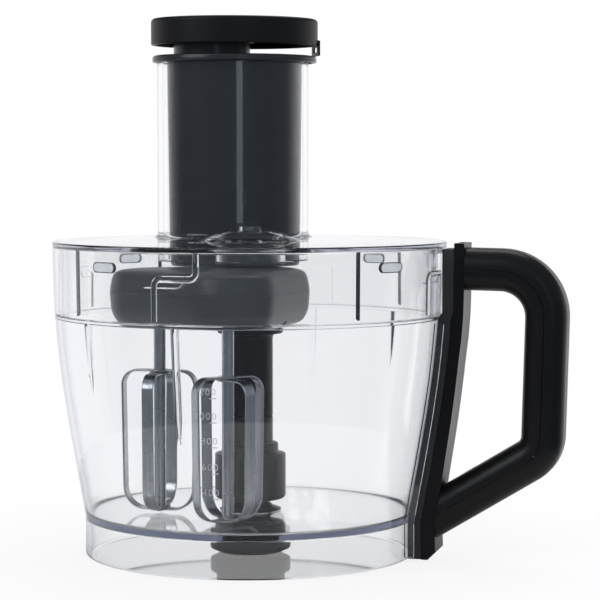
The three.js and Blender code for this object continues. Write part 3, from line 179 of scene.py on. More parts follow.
def lathe(name, corners, segments=96, steps=5):
    """A solid turned about Z from (radius, height[, fillet]) corners."""
    vertices, rings, faces = [], [], []
    for radius, height in rounded(corners, True, steps):
        on_axis = radius < 1e-6
        ring = []
        for k in range(1 if on_axis else segments):
            ring.append(len(vertices))
            vertices.append((*polar(radius, 360 * k / segments), height))
        rings.append(ring * segments if on_axis else ring)
    for i, low in enumerate(rings):
        high = rings[(i + 1) % len(rings)]
        for k in range(segments):
            nxt = (k + 1) % segments
            face = list(dict.fromkeys([low[k], low[nxt], high[nxt], high[k]]))
            if len(face) > 2:
                faces.append(face)
    return mesh_from(name, vertices, faces)


def rod(radius, low, high, segments=96):
    """A plain round bar about Z."""
    return lathe("rod", rectangle(0, radius, low, high), segments)


def loft(name, rings, loop=False):
    """A solid through rings of 3-D points, all of one count: capped, or joined as a loop."""
    count, total = len(rings[0]), len(rings)
    vertices = [point for ring in rings for point in ring]
    faces = []
    if not loop:
        faces += [list(range(count)), list(range(len(vertices) - count, len(vertices)))]
    for r in range(total if loop else total - 1):
        a, b = r * count, (r + 1) % total * count
        for k in range(count):
            nxt = (k + 1) % count
            faces.append([a + k, a + nxt, b + nxt, b + k])
    return mesh_from(name, vertices, faces)


def prism(name, corners, low, high):
    """A plan outline, (x, y[, radius]), made solid between two heights."""
    points = rounded(corners)
    return loft(name, [[(x, y, z) for x, y in points] for z in (low, high)])


def side_plate(name, corners, low, high):
    """A side view outline, (x, z[, radius]), made solid between two values of Y."""
    points = rounded(corners)
    return loft(name, [[(x, y, z) for x, z in points] for y in (low, high)])


def oval_stack(name, base, rows, count=128):
    """A solid through ovals a base larger than the tube, from (growth, height) rows."""
    turns = [2 * pi * k / count for k in range(count)]
    rings = []
    for grow, height in rows:
        a, b = TUBE_A + base + grow, TUBE_B + base + grow
        rings.append([(a * cos(turn), b * sin(turn), height) for turn in turns])
    return loft(name, rings)


def place(piece, x=0.0, y=0.0, z=0.0, turn=0.0):
    piece.data.transform(
        Matrix.Translation(Vector((x, y, z)) * MM) @ Matrix.Rotation(radians(turn), 4, "Z")
    )
    return piece


def at_tube(piece):
    x, y = polar(TUBE_OFFSET, TUBE_TURN)
    return place(piece, x, y, 0, TUBE_TURN - 90)


def bake(piece):
    """Makes the piece's modifiers part of its mesh."""
    graph = bpy.context.evaluated_depsgraph_get()
    graph.update()
    mesh = bpy.data.meshes.new_from_object(piece.evaluated_get(graph))
    piece.modifiers.clear()
    piece.data = mesh
    return piece


def combine(base, operation, *others):
    for other in others:
        step = base.modifiers.new(operation, "BOOLEAN")
        step.operation = operation
        step.solver = "EXACT"
        step.object = other
        bake(base)
        bpy.data.objects.remove(other)
    return base


def join(base, *others):
    return combine(base, "UNION", *others)


def cut(base, *others):
    return combine(base, "DIFFERENCE", *others)


def bevel(piece, width, segments=3, angle=35):
    step = piece.modifiers.new("edge", "BEVEL")
    step.width = width * MM
    step.segments = segments
    step.limit_method = "ANGLE"
    step.angle_limit = radians(angle)
    return bake(piece)


def dress(piece, finish, nodes=(), crease=32, body="bowl_unit"):
    """Shades a piece, gives it its finish and body, and hides the CAD nodes it stands for."""
    piece.data.shade_smooth()
    piece.data.set_sharp_from_angle(angle=radians(crease))
    flat = piece.modifiers.new("flat faces stay flat", "WEIGHTED_NORMAL")
    flat.weight = 50
    flat.keep_sharp = True
    mesh = bake(piece).data
    mesh.materials.clear()
    mesh.materials.append(finish)
    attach(piece, body)
    if nodes:
        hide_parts(*nodes)
    return piece


# ---- finishes


class Graph:
    """A short way to write the nodes of a material or the world."""

    def __init__(self, owner, output="OutputMaterial"):
        owner.use_nodes = True
        self.owner = owner
        self.nodes, self.links = owner.node_tree.nodes, owner.node_tree.links
        self.nodes.clear()
        self.output = self.add(output)

    def put(self, socket, value):
        """Gives a socket a value, or links another node's output to it."""
        if isinstance(value, bpy.types.NodeSocket):
            self.links.new(value, socket)
        else:
            socket.default_value = value

    def add(self, kind, *values, **settings):
        """A new node: values go to its first sockets, settings to what they name."""
        node = self.nodes.new("ShaderNode" + kind)
        for socket, value in zip(node.inputs, values):
            self.put(socket, value)
        for key, value in settings.items():
            if hasattr(node, key):
                setattr(node, key, value)
            else:
                self.put(node.inputs[key.replace("_", " ")], value)
        return node

    def noise(self, scale, detail=3.0, stretch=(1, 1, 1), roughness=0.55):
        spot = self.add("TexCoord").outputs["Object"]
        mapped = self.add("Mapping", spot, Scale=stretch).outputs["Vector"]
        node = self.add("TexNoise", mapped, Scale=scale, Detail=detail, Roughness=roughness)
        return node.outputs[0]

    def spread(self, source, low, high, ends=(0.25, 0.75), curve="LINEAR"):
        """Maps a value between two ends to one between low and high."""
        node = self.add("MapRange", source, *ends, low, high, interpolation_type=curve)
        return node.outputs["Result"]

    def tint(self, source, dark, light):
        ramp = self.add("ValToRGB", source)
        for element, spot, colour in zip(ramp.color_ramp.elements, (0.3, 0.7), (dark, light)):
            element.position, element.color = spot, (*colour, 1)
        return ramp.outputs["Color"]

    def bump(self, source, distance, strength, after=None):
        node = self.add("Bump", Distance=distance, Strength=strength, Height=source)
        if after:
            self.put(node.inputs["Normal"], after)
        return node.outputs["Normal"]

    def math(self, operation, *values):
        return self.add("Math", *values, operation=operation, use_clamp=True).outputs[0]

    def dot(self, vector, direction):
        return self.add("VectorMath", vector, direction, operation="DOT_PRODUCT").outputs["Value"]

    def blend(self, share, first, second):
        """A colour between two others."""
        node = self.add("Mix", share, data_type="RGBA")
        self.put(node.inputs[6], first)
        self.put(node.inputs[7], second)
        return node.outputs[2]

    def mix(self, share, first, second):
        """A shader between two others."""
        return self.add("MixShader", share, first, second).outputs[0]

    def end(self, shader, into="Surface"):
        """Links a shader to the output, and gives back what it is the finish of."""
        self.put(self.output.inputs[into], shader)
        return self.owner

    def principled(self, **sockets):
        return self.end(self.add("BsdfPrincipled", **sockets).outputs["BSDF"])


def material_graph(name):
    return Graph(bpy.data.materials.new(name))


def scaled(colour, factor):
    return tuple(channel * factor for channel in colour)


def moulded(name, colour, roughness, gloss, grain=0.000006):
    """Injection-moulded plastic: fine spark grain, slight flow marks, uneven sheen."""
    g = material_graph(name)
    flow, fine = g.noise(38, 2, (1, 1, 0.35)), g.noise(1800, 2)
    return g.principled(
        Specular_IOR_Level=gloss,
        Base_Color=g.tint(flow, scaled(colour, 0.86), scaled(colour, 1.14)),
        Roughness=g.spread(flow, roughness - 0.05, roughness + 0.05),
        Normal=g.bump(fine, grain, 0.8, g.bump(flow, 0.00003, 0.5)),
    )


def clear_plastic(name, density, bend):
    """Clear styrene: painted shade in dark slate at its grazed upright edges, a faint body colour,
    moulding ripples, fine scuffs.
    """
    g = material_graph(name)
    ripple, scuff = g.noise(24, 2, (1, 1, 0.5)), g.noise(900, 3, (1, 1, 0.2))
    body = g.add("VolumeAbsorption", Color=(*BODY_BLUE, 1), Density=density)
    g.end(body.outputs["Volume"], "Volume")
    return g.principled(
        Transmission_Weight=1.0,
        IOR=bend,
        # the base colour carries painted shade: dark slate at grazed upright edges
        Base_Color=painted_edge_shade(g),
        Roughness=g.spread(scuff, 0.012, 0.042),
        Normal=g.bump(ripple, 0.00004, 0.35),
    )


def painted_edge_shade(g):
    """Painted shade: pale where a wall is looked through squarely, dark slate painted into the
    colour where an upright one is grazed.
    """
    rise = g.dot(g.add("NewGeometry").outputs["Normal"], (0, 0, 1))
    upright = g.spread(g.math("ABSOLUTE", rise), 1.0, 0.0, (0.6, 0.95))
    facing = g.add("LayerWeight", Blend=0.5).outputs["Facing"]
    grazed = g.spread(facing, 0.0, 1.0, (0.7, 1.0), "SMOOTHSTEP")
    return g.blend(g.math("MULTIPLY", upright, grazed), (1, 1, 1, 1), (*PAINTED_EDGE_SHADE, 1))


def textured(name, tones, sheen, relief, noises, **sockets):
    """A finish whose colour, sheen and relief each follow a noise of their own."""
    g = material_graph(name)
    clouds = [g.noise(*noise) for noise in noises]
    return g.principled(
        Base_Color=g.tint(clouds[0], *tones),
        Roughness=g.spread(clouds[1], *sheen),
        Normal=g.bump(clouds[2], *relief),
        **sockets,
    )


def haze_and_painted_shade(name, colour, clearness):
    """Clear plastic mixed with a flat colour: a pale haze where the colour is light, and painted
    shade where it is dark and little light passes.
    """
    tones = scaled(colour, 0.92), scaled(colour, 1.08)
    clear = {"Transmission_Weight": clearness, "IOR": 1.45}
    return textured(name, tones, (0.08, 0.16), (0.00002, 0.4), [(160, 2)] * 3, **clear)


def brushed_steel(name, colour, roughness, stretch):
    """Stainless steel with grinding lines along the part."""
    tones = scaled(colour, 0.82), scaled(colour, 1.15)
    sheen = roughness - 0.05, roughness + 0.07
    lines = (60, 5, stretch, 0.7)
    return textured(name, tones, sheen, (0.00001, 0.6), [lines, (45, 2), lines], Metallic=1.0)


# the first is a dark slate painted into clear plastic's colour as shade at grazed upright edges;
# the second is the plastic's own faint body colour
PAINTED_EDGE_SHADE, BODY_BLUE = (0.12, 0.15, 0.27), (0.14, 0.20, 0.36)
CLEAR = clear_plastic("bowl_plastic", 17.0, 1.42)
CLEAR_LID = clear_plastic("lid_plastic", 5.0, 1.38)
# a finely etched face, which scatters light and looks pale
PALE = (0.74, 0.76, 0.80), (0.90, 0.92, 0.95)
HAZY = {"Transmission_Weight": 0.8, "IOR": 1.45}
ETCHED = textured("etched_plastic", PALE, (0.3, 0.5), (0.00001, 0.6), [(2600,)] * 3, **HAZY)
LUG_FACE = haze_and_painted_shade("lug_face", (0.86, 0.89, 0.94), 0.9)
# nearly opaque dark plastic for the beads round the lug pads: painted shade along the pads' edges
LUG_PAINTED_SHADE = haze_and_painted_shade("lug_painted_shade", (0.035, 0.042, 0.07), 0.1)
# nearly opaque dark plastic for the lid's clear straight ribs: painted shade
RIB_PAINTED_SHADE = haze_and_painted_shade("rib_painted_shade", (0.030, 0.036, 0.075), 0.35)
BLACK = moulded("handle_black", (0.0040, 0.0040, 0.0043), 0.36, 0.2)
COVER = moulded("cover_black", (0.0066, 0.0067, 0.0075), 0.3, 0.12)
CHARCOAL = moulded("spine_charcoal", (0.027, 0.0275, 0.0295), 0.45, 0.3)
COLUMN = moulded("column_black", (0.012, 0.012, 0.0135), 0.36, 0.3)
GREY = moulded("head_grey", (0.043, 0.047, 0.055), 0.34, 0.35)
PUSHER = moulded("pusher_grey", (0.0165, 0.0190, 0.0235), 0.24, 0.28, 0.00001)
CAP = moulded("cap_black", (0.0050, 0.0051, 0.0056), 0.42, 0.18)
STEEL = brushed_steel("beater_steel", (0.395, 0.41, 0.435), 0.24, (14, 14, 0.35))
STEEL_FINE = brushed_steel("fastener_steel", (0.45, 0.46, 0.48), 0.3, (6, 6, 6))
# natural nylon: slightly cloudy, with a fine matt grain
NYLON_TONES = (0.70, 0.69, 0.64), (0.80, 0.79, 0.75)
SOFT = {"Subsurface_Weight": 0.25, "Subsurface_Scale": 0.002, "Subsurface_Radius": (1, 0.9, 0.7)}
CLOUDS = [(120,), (120,), (3200, 2)]
NYLON = textured("natural_nylon", NYLON_TONES, (0.38, 0.52), (0.00002, 0.6), CLOUDS, **SOFT)

# ---- bowl


def bezier(points, t):
    a, b, c, d = points
    s = 1 - t
    return a * s**3 + b * 3 * s * s * t + c * 3 * s * t * t + d * t**3


THIRD = (LEDGE - SKIRT_TOP) / 3
WALL_CONTROL = [
    (SKIRT_R, SKIRT_TOP),
    (SKIRT_R + FLARE_LOW * THIRD, SKIRT_TOP + THIRD),
    (MOUTH_R - FLARE_HIGH * THIRD, LEDGE - THIRD),
    (MOUTH_R, LEDGE),
]
WALL = [bezier([Vector(point) for point in WALL_CONTROL], t / 28) for t in range(29)]


def wall_radius(height):
    """How far out the bowl's outer face is at a height, or the lid's above the ledge."""
    if height <= SKIRT_TOP:
        return SKIRT_R
    if height >= LEDGE:
        return LID_R
    for low, high in zip(WALL, WALL[1:]):
        if low.y <= height <= high.y:
            return low.x + (high.x - low.x) * (height - low.y) / (high.y - low.y)
    return MOUTH_R


def guide_rail(side):
    """One of the two rails that hold the handle's spine on the wall."""
    outer = [(wall_radius(z) + RAIL_OUT, z) for z in RAIL_HEIGHTS]
    inner = [(wall_radius(z) - RAIL_IN, z) for z in reversed(RAIL_HEIGHTS)]
    low, high = (RAIL_NEAR, RAIL_FAR) if side > 0 else (-RAIL_FAR, -RAIL_NEAR)
    return bevel(side_plate("guide_rail", outer + inner, low, high), 0.3, 2)


def inside_radius(height):
    return wall_radius(height) - BOWL_WALL


def baffle(turn, foot):
    """An upright rib inside the bowl, half round, which runs out into the wall at its foot."""
    rings = []
    for step in range(13):
        share = step / 12
        height = foot + (SHELF_UNDER - foot) * share
        nose = inside_radius(foot) + (RIM_INNER + 0.3 - inside_radius(foot)) * share
        root = inside_radius(height) + 1
        nose = min(nose, root - 1.05)
        half = BAFFLE_HALF * min(1, 0.35 + 3.2 * share)
        swell = min(half, root - nose - 0.4)
        ring = [(root, -half, height)]
        for k in range(9):
            angle = pi * k / 8
            ring.append((nose + swell * (1 - sin(angle)), -half * cos(angle), height))
        rings.append([*ring, (root, half, height)])
    rings.append([(r, y, z + 1) for r, y, z in rings[-1]])
    return place(loft("baffle", rings), turn=turn)


def lug_outline(grow=0.0):
    half, top, corner = LUG_W / 2 + grow, LUG_H / 2 + grow, LUG_H * 0.48 + grow
    return rounded(rectangle(-half, half, -top, top, corner))


def on_rim(points, reach):
    """A flat outline laid on the rim, reach out from its axis."""
    return [(sqrt(reach * reach - p.x * p.x), p.x, LUG_Z + p.y) for p in points]


def make_lugs():
    """Four pads on the rim that the lid's hooked ribs lock under, each with a thin dark bead round
    it as painted shade along its edge.
    """
    foot, shade_bead_out = RIM_OUTER + 0.15, RIM_OUTER + 0.75
    inner, outer = lug_outline(-0.4), lug_outline()
    corners = ((inner, foot), (outer, foot), (outer, shade_bead_out), (inner, shade_bead_out))
    pads, shade_beads = [], []
    for k in range(4):
        rings = [on_rim(lug_outline(-0.55), reach) for reach in (foot, RIM_OUTER + LUG_OUT)]
        pads.append(place(bevel(loft("rim_lugs", rings), 0.15, 2), turn=FIRST_LUG + 90 * k))
        rings = list(zip(*[on_rim(outline, reach) for outline, reach in corners]))
        shade_beads.append(place(loft("lug_shade_beads", rings, True), turn=FIRST_LUG + 90 * k))
    for first, finish in ((pads, LUG_FACE), (shade_beads, LUG_PAINTED_SHADE)):
        join(first[0], *first[1:])
        dress(first[0], finish)


def make_bowl():
    """The clear bowl: skirt, flared wall, shelf, rim and floor, with its rails and baffles."""
    inner = [(p.x - BOWL_WALL, p.y) for p in WALL if FLOOR_TOP + FLOOR_ROUND < p.y < SHELF_UNDER]
    profile = [
        (SKIRT_R - BOWL_WALL, 0, 0.5), (SKIRT_R, 0, 0.5), *[(p.x, p.y) for p in WALL[:-1]],
        (MOUTH_R, LEDGE, 0.4), (RIM_OUTER, LEDGE, 0.2), (RIM_OUTER, RIM_TOP, 0.6),
        (RIM_INNER, RIM_TOP, 0.6), (RIM_INNER, SHELF_UNDER, 0.15),
        (inside_radius(SHELF_UNDER), SHELF_UNDER, 0.2), *reversed(inner),
        (inside_radius(FLOOR_TOP), FLOOR_TOP, FLOOR_ROUND), (FLOOR_HOLE, FLOOR_TOP),
        (FLOOR_HOLE, FLOOR_UNDER), (SKIRT_R - BOWL_WALL, FLOOR_UNDER, 0.8),
    ]
    shell = lathe("bowl_shell", profile, 180)
    join(shell, guide_rail(1), guide_rail(-1))
    for turns, foot in ((LONG_BAFFLES, LONG_FOOT), (SHORT_BAFFLES, SHORT_FOOT)):
        join(shell, *[baffle(turn, foot) for turn in turns])
    dress(shell, CLEAR, ["bowl"], 28)


# ---- lid


RIB_SECTION = [
    (SKIRT_IN - RIB_REACH, LID_UNDER - 0.1), (SKIRT_IN - 0.1, LID_UNDER - 0.1),
    (SKIRT_IN - 0.1, SKIRT_BOTTOM + 1), (SKIRT_IN - RIB_REACH, SKIRT_BOTTOM + 1.8),
]


def bent_rib(centre_line, width=RIB_W, reach=RIB_REACH, corner=3.0):
    """A rib of even width along (turn, height) points on the inside of the lid's skirt."""
    unit = pi * SKIRT_IN / 180
    path = resample(rounded([(a * unit, z, corner) for a, z in centre_line], False, 10), 1.5)
    section = [(1, 0.8)]
    for k in range(9):
        angle = pi * k / 8
        section.append((cos(angle), -reach * (0.35 + 0.65 * sin(angle))))
    section.append((-1, 0.8))
    rings = []
    for i, point in enumerate(path):
        along = heading(path, i)
        side = Vector((-along.y, along.x)) * (width / 2)
        ring = []
        for sign, depth in section:
            spot = point + side * sign
            ring.append((*polar(SKIRT_IN + depth, spot.x / unit), spot.y))
        rings.append(ring)
    return loft("skirt_rib", rings)


def make_tab():
    """The lid's tab, which reaches into the spine and pushes the interlock rod."""
    corners = [(5, 125.5, 0.6), (5, 132, 1), (-5, 132, 1), (-5, 128.1, 0.4), (-1, 125.5, 0.6)]
    outline = rounded(corners, True, 4)
    reaches = (SKIRT_IN + SKIRT_WALL / 2, LID_R + TAB_OUT)
    rings = [[(reach, p.x, p.y) for p in outline] for reach in reaches]
    return place(bevel(loft("tab", rings), 0.4, 2), turn=LOCK_TURN)


def add_dome(shell):
    """The dome over the head's boss, with the square knob on it and the socket below."""
    top, knob = LID_TOP + DOME_RISE, (-KNOB_HALF, KNOB_HALF)
    outside = [
        (0, LID_UNDER + 0.4), (DOME_R, LID_UNDER + 0.4), (DOME_R, LID_TOP, 0.4),
        (DOME_R * 0.72, LID_TOP + DOME_RISE * 0.55, 12), (DOME_FLAT, top, 1.2), (0, top),
    ]
    inside = [
        (0, LID_UNDER - 1), (SOCKET_IN, LID_UNDER - 1), (SOCKET_IN, LID_TOP - 1.2, 0.5),
        (DOME_FLAT, top - 1.8, 1), (0, top - 1.8),
    ]
    socket = [
        (SOCKET_IN, SOCKET_LOW, 0.3), (SOCKET_OUT, SOCKET_LOW, 0.3),
        (SOCKET_OUT, SOCKET_HIGH), (SOCKET_IN, SOCKET_HIGH),
    ]
    block = prism("knob", rectangle(*knob, *knob, KNOB_CORNER), top - 0.6, top + KNOB_RISE)
    block = place(bevel(block, 0.5, 3), turn=TUBE_TURN)
    join(shell, lathe("dome", outside), block)
    cut(shell, lathe("under_dome", inside))
    join(shell, lathe("socket", socket))


def add_tube(shell):
    """The oval feed tube, with a fillet where it meets the lid and a slightly wider rim."""
    fillet = ((2, -0.3), (2, 0.15), (1.1, 0.45), (0.5, 0.95), (0.15, 1.7), (0, 2.6))
    outside = [(0, TUBE_BOTTOM), (0, LID_UNDER + 0.5)]
    outside += [(grow, LID_TOP + rise) for grow, rise in fillet]
    outside += [(0, TUBE_FLARE - 3), (0.2, TUBE_FLARE), (0.2, TUBE_FLARE + 0.7), (-0.1, TUBE_TOP)]
    inside = [
        (0.4, TUBE_BOTTOM - 1), (0.4, TUBE_BOTTOM), (0, TUBE_BOTTOM + 0.5),
        (0, TUBE_TOP - 0.7), (0.5, TUBE_TOP), (0.5, TUBE_TOP + 1),
    ]
    join(shell, at_tube(oval_stack("tube", 0, outside)))
    cut(shell, at_tube(oval_stack("bore", -TUBE_WALL, inside)))


def make_lid():
    """The clear lid, and its four straight ribs as a piece of their own, coloured dark as painted
    shade.
    """
    profile = [
        (0, LID_UNDER), (SKIRT_IN, LID_UNDER, 0.6), (SKIRT_IN, SKIRT_BOTTOM, 0.3),
        (SKIRT_IN + SKIRT_WALL, SKIRT_BOTTOM, 0.3), (LID_R, LID_TOP, 0.9), (0, LID_TOP),
    ]
    shell = lathe("lid_shell", profile, 180)
    add_dome(shell)
    add_tube(shell)
    hook_z = LUG_Z - LUG_H / 2 - SLIDE_GAP - RIB_W / 2
    hook = [(HOOK_NEAR, SKIRT_BOTTOM + 1), (HOOK_NEAR, hook_z)]
    hook += [(HOOK_FAR, hook_z), (HOOK_FAR, LID_UNDER + 0.5)]
    straight = []
    for k in range(4):
        bar = side_plate("lid_ribs", RIB_SECTION, -STRAIGHT_HALF, STRAIGHT_HALF)
        straight.append(place(bevel(bar, 0.2, 2), turn=FIRST_LUG + STRAIGHT_RIB + 90 * k))
        for rib in (bent_rib(hook), bent_rib([*LEAD_IN, (LEAD_IN_END, hook_z)], 0.5, 0.5, 1.5)):
            join(shell, place(rib, turn=FIRST_LUG + 90 * k))
    join(shell, make_tab())
    join(straight[0], *straight[1:])
    # the straight ribs get a dark finish as painted shade
    dress(straight[0], RIB_PAINTED_SHADE, body="lid")
    dress(shell, CLEAR_LID, ["lid"], 28, body="lid")


# ---- pushers


def make_main_pusher():
    """The grey oval pusher, its flange over the tube's rim and its round inner sleeve."""
    low, top, slim = PUSHER_BOTTOM, FLANGE_TOP, -TUBE_WALL - PUSHER_PLAY
    rows = [(-2.3, low), (-1.5, low + 0.25), (-1.0, low + 1.0), (0, FLANGE_LOW + 0.4)]
    body = oval_stack("pusher_body", slim, [*rows, (0, top - 0.5)])
    rows = [(-0.5, FLANGE_LIP), (0, FLANGE_LIP + 0.5), (0, top - 1.1), (-0.35, top - 0.35)]
    flange = oval_stack("flange", FLANGE_OVER, [*rows, (-1.1, top)])
    rows = [(RIM_RECESS, FLANGE_LIP - 1), (RIM_RECESS, FLANGE_LOW)]
    cut(flange, oval_stack("over_rim", 0, rows))
    hollow = oval_stack("hollow", slim, [(-2.8, low + 1.8), (-1.8, top + 1)])
    sleeve = place(rod(SLEEVE_R, low + 1, top - 0.3), INNER_OFF)
    limit = oval_stack("limit", slim, [(-1.2, low), (-0.2, top)])
    combine(sleeve, "INTERSECT", limit)
    join(body, flange)
    cut(body, hollow)
    join(body, sleeve)
    cut(body, place(rod(SLEEVE_BORE, 100, 240), INNER_OFF))
    at_tube(place(body, PUSHER_SHIFT))
    dress(body, PUSHER, ["main_pusher"], 30, body="pusher")


def make_small_pusher():
    """The round pusher inside the main one, open at its top under the cap."""
    inside, roof = INNER_R - INNER_WALL, CAP_ROOF - SEAT_GAP
    profile = [
        (0, PUSHER_BOTTOM), (INNER_R, PUSHER_BOTTOM, 0.8), (INNER_R, roof, 0.3),
        (inside, roof, 0.3), (inside, PUSHER_BOTTOM + 1.8, 0.6), (0, PUSHER_BOTTOM + 1.8),
    ]
    inner = at_tube(place(lathe("pusher_inner", profile), INNER_OFF + PUSHER_SHIFT))
    dress(inner, PUSHER, ["small_pusher"], body="small_pusher")


def cap_hook(near):
    """The windowed hook that hangs from one end of the cap."""
    low, out = CAP_BOTTOM, near + 0.1
    outline = [
        (near - 3, low + 1), (near - 3, low + 2.5), (out, low + 2.5, 0.5),
        (out, low - 4.6, 0.4), (out - 1, low - 4.6, 0.3), (out - 1, low + 1),
    ]
    hook = side_plate("hook", outline, -8, 8)
    window = side_plate("window", rectangle(near - 2, out + 1, low - 2.8, low - 0.6), -4, 4)
    return bevel(cut(hook, window), 0.2, 2)


def make_cap():
    """The black oval cap with a rounded edge, a slightly crowned top and its hook."""
    low, roof = CAP_BOTTOM, CAP_ROOF
    rows = [(-0.6, low), (-0.15, low + 0.2), (0, low + 0.7)]
    for step in range(9):
        angle = radians(step * 90 / 8)
        drop = CAP_CROWN + CAP_EDGE * (1 - sin(angle))
        rows.append((-CAP_EDGE * (1 - cos(angle)), CAP_TOP - drop))
    for inset, drop in ((6, 0.34), (10, 0.2), (16, 0.08), (22, 0.02), (26, 0)):
        rows.append((-inset, CAP_TOP - drop))
    cap = oval_stack("pusher_cover", CAP_OVER, rows)
    rows = [(-2.2, low - 1), (-2.2, roof - 2), (-3.1, roof - 0.6), (-5.2, roof)]
    cut(cap, oval_stack("hollow", CAP_OVER, rows))
    section = rectangle(CAP_SOCKET_IN, CAP_SOCKET_OUT, roof - 8, roof + 0.6)
    socket = place(lathe("socket", section), INNER_OFF)
    limit = oval_stack("limit", CAP_OVER, [(-1.5, 200), (-1.5, roof + 0.8)])
    combine(socket, "INTERSECT", limit)
    join(cap, socket, cap_hook(TUBE_A + CAP_OVER))
    at_tube(place(cap, PUSHER_SHIFT))
    dress(cap, CAP, ["pusher_cap"], 30, body="small_pusher")


# ---- whisk head


def head_ring(inset, height, count=144):
    """The band round the hub circle and the two beater circles."""
    circles = [(0.0, 0.0, HUB_R - inset)]
    circles += [(*polar(BEATER_DIST, turn), POD_R - inset) for turn in BEATER_TURNS]
    ring = []
    for k in range(count):
        dx, dy = polar(1, 360 * k / count)
        x, y, r = max(circles, key=lambda c: c[0] * dx + c[1] * dy + c[2])
        ring.append(Vector((x + r * dx, y + r * dy, height)))
    return even(ring)


def even(ring):
    """Spreads a closed ring's points evenly, so that a loft through rings stays smooth."""
    count = len(ring)
    lengths = [0.0]
    for i in range(count):
        lengths.append(lengths[-1] + (ring[(i + 1) % count] - ring[i]).length)
    spots, i = [], 0
    for k in range(count):
        goal = lengths[-1] * k / count
        while lengths[i + 1] < goal:
            i += 1
        share = (goal - lengths[i]) / max(lengths[i + 1] - lengths[i], 1e-9)
        spots.append(ring[i].lerp(ring[(i + 1) % count], share))
    return spots


def smooth_layers(points, steps=5):
    """Extra (inset, height) layers along a smooth line through the given ones."""
    layers = []
    for i in range(len(points) - 1):
        p0 = Vector(points[max(i - 1, 0)])
        p1, p2 = Vector(points[i]), Vector(points[i + 1])
        p3 = Vector(points[min(i + 2, len(points) - 1)])
        for k in range(steps):
            t = k / steps
            bend = (2 * p0 - 5 * p1 + 4 * p2 - p3) * t * t
            spot = (2 * p1 + (p2 - p0) * t + bend + (3 * p1 - p0 - 3 * p2 + p3) * t**3) / 2
            layers.append((spot.x, spot.y))
    layers.append(tuple(points[-1]))
    return layers


def head_stack(name, rows):
    """A solid through the head's outline, from (inset, height) rows."""
    return loft(name, [head_ring(inset, height) for inset, height in rows])


def make_tray():
    """The head's lower housing: a tray with a round bottom, bearing holes and screw posts."""
    z = HEAD_BOTTOM
    side = [(6.4, z), (3.2, z + 1.6), (1.2, z + 5), (0.5, z + 8), (0, HEAD_SPLIT - 0.3)]
    tray = head_stack("head_tray", [(7.4, z), *smooth_layers(side), (0.1, HEAD_SPLIT)])
    inside = [(7.8, z + 2), (2.6, z + 5.8), (1.9, z + 8.8), (1.4, HEAD_SPLIT + 1)]
    cut(tray, head_stack("inside", inside))
    cut(tray, rod(HEAD_BORE_R, 90, 106))
    for turn in BEATER_TURNS:
        cut(tray, place(rod(BEARING_R, 90, 106, 48), *polar(BEATER_DIST, turn)))
    for x, y in screw_spots():
        post = lathe("post", rectangle(SCREW_R, POST_R, POST_LOW, HEAD_SPLIT), 32)
        cut(tray, place(rod(SCREW_HEAD_R, 90, 108, 32), x, y))
        join(tray, place(post, x, y))
    dress(tray, GREY, ["head_lower_housing"])


def make_head_cover():
    """The head's crowned upper cover, with its boss and the pins that the screws bite in."""
    low = HEAD_SPLIT + SEAT_GAP
    rise = HEAD_TOP - low
    crown = smooth_layers([(0.1, 0.04), (0.5, 0.3), (1.2, 0.6), (2.8, 0.82), (7, 0.94), (15, 1)])
    rows = [(0.15, HEAD_SPLIT + 0.1), *[(inset, low + rise * share) for inset, share in crown]]
    cover = head_stack("head_cover", rows)
    inside = [(1.5, -0.1), (1.9, 0.16), (2.6, 0.41), (4.2, 0.6)]
    rows = [(inset, low + rise * share) for inset, share in inside]
    cut(cover, head_stack("inside", rows))
    boss = [
        (BOSS_IN, low + 1.6), (BOSS_OUT, low + 1.6), (BOSS_OUT, BOSS_TOP, 1),
        (0, BOSS_TOP), (0, 119.7), (BOSS_IN, 119.7),
    ]
    foot = [
        (BOSS_IN, 121.0), (14.2, HEAD_TOP - 0.6),
        (BOSS_OUT, HEAD_TOP + 0.9, 2), (BOSS_IN, HEAD_TOP + 0.9),
    ]
    join(cover, lathe("foot", foot, 64), lathe("boss", boss, 64))
    for x, y in screw_spots():
        join(cover, place(rod(PIN_R, low, low + 7, 32), x, y))
        cut(cover, place(rod(SCREW_R, low - 1, 120, 32), x, y))
    dress(cover, GREY, ["head_upper_cover"])


def screw_spots():
    """Where the three head screws stand: one between the beaters, two beside the hub."""
    spots = [polar(BEATER_DIST * cos(radians(BEATER_SPREAD)) + 15, HEAD_TURN)]
    for i, turn in enumerate(BEATER_TURNS):
        x, y = polar(22.5, turn)
        dx, dy = polar(18.6, turn + (90 if i else -90))
        spots.append((x + dx, y + dy))
    return spots


# ---- drive line


def make_coupling():
    """The dogged coupling under the bowl's floor."""
    profile = [
        (10.5, 0.4, 0.3), (14.2, 0.4, 0.4), (17.8, 2.2, 0.8), (17.8, 8, 1), (15.2, 9, 0.9),
        (15.2, 13.8, 1.4), (12.8, 15.2, 0.4), (4.3, 15.2), (4.3, 7), (10.5, 7, 0.4),
    ]
    coupling = lathe("coupling_skin", profile)
    for k in range(6):
        dog = bevel(prism("dog", rectangle(8.1, 11.5, -1.3, 1.3), 0.9, 8), 0.3, 2)
        join(coupling, place(dog, turn=60 * k))
    dress(coupling, COLUMN, ["drive_coupling"], body="drive")


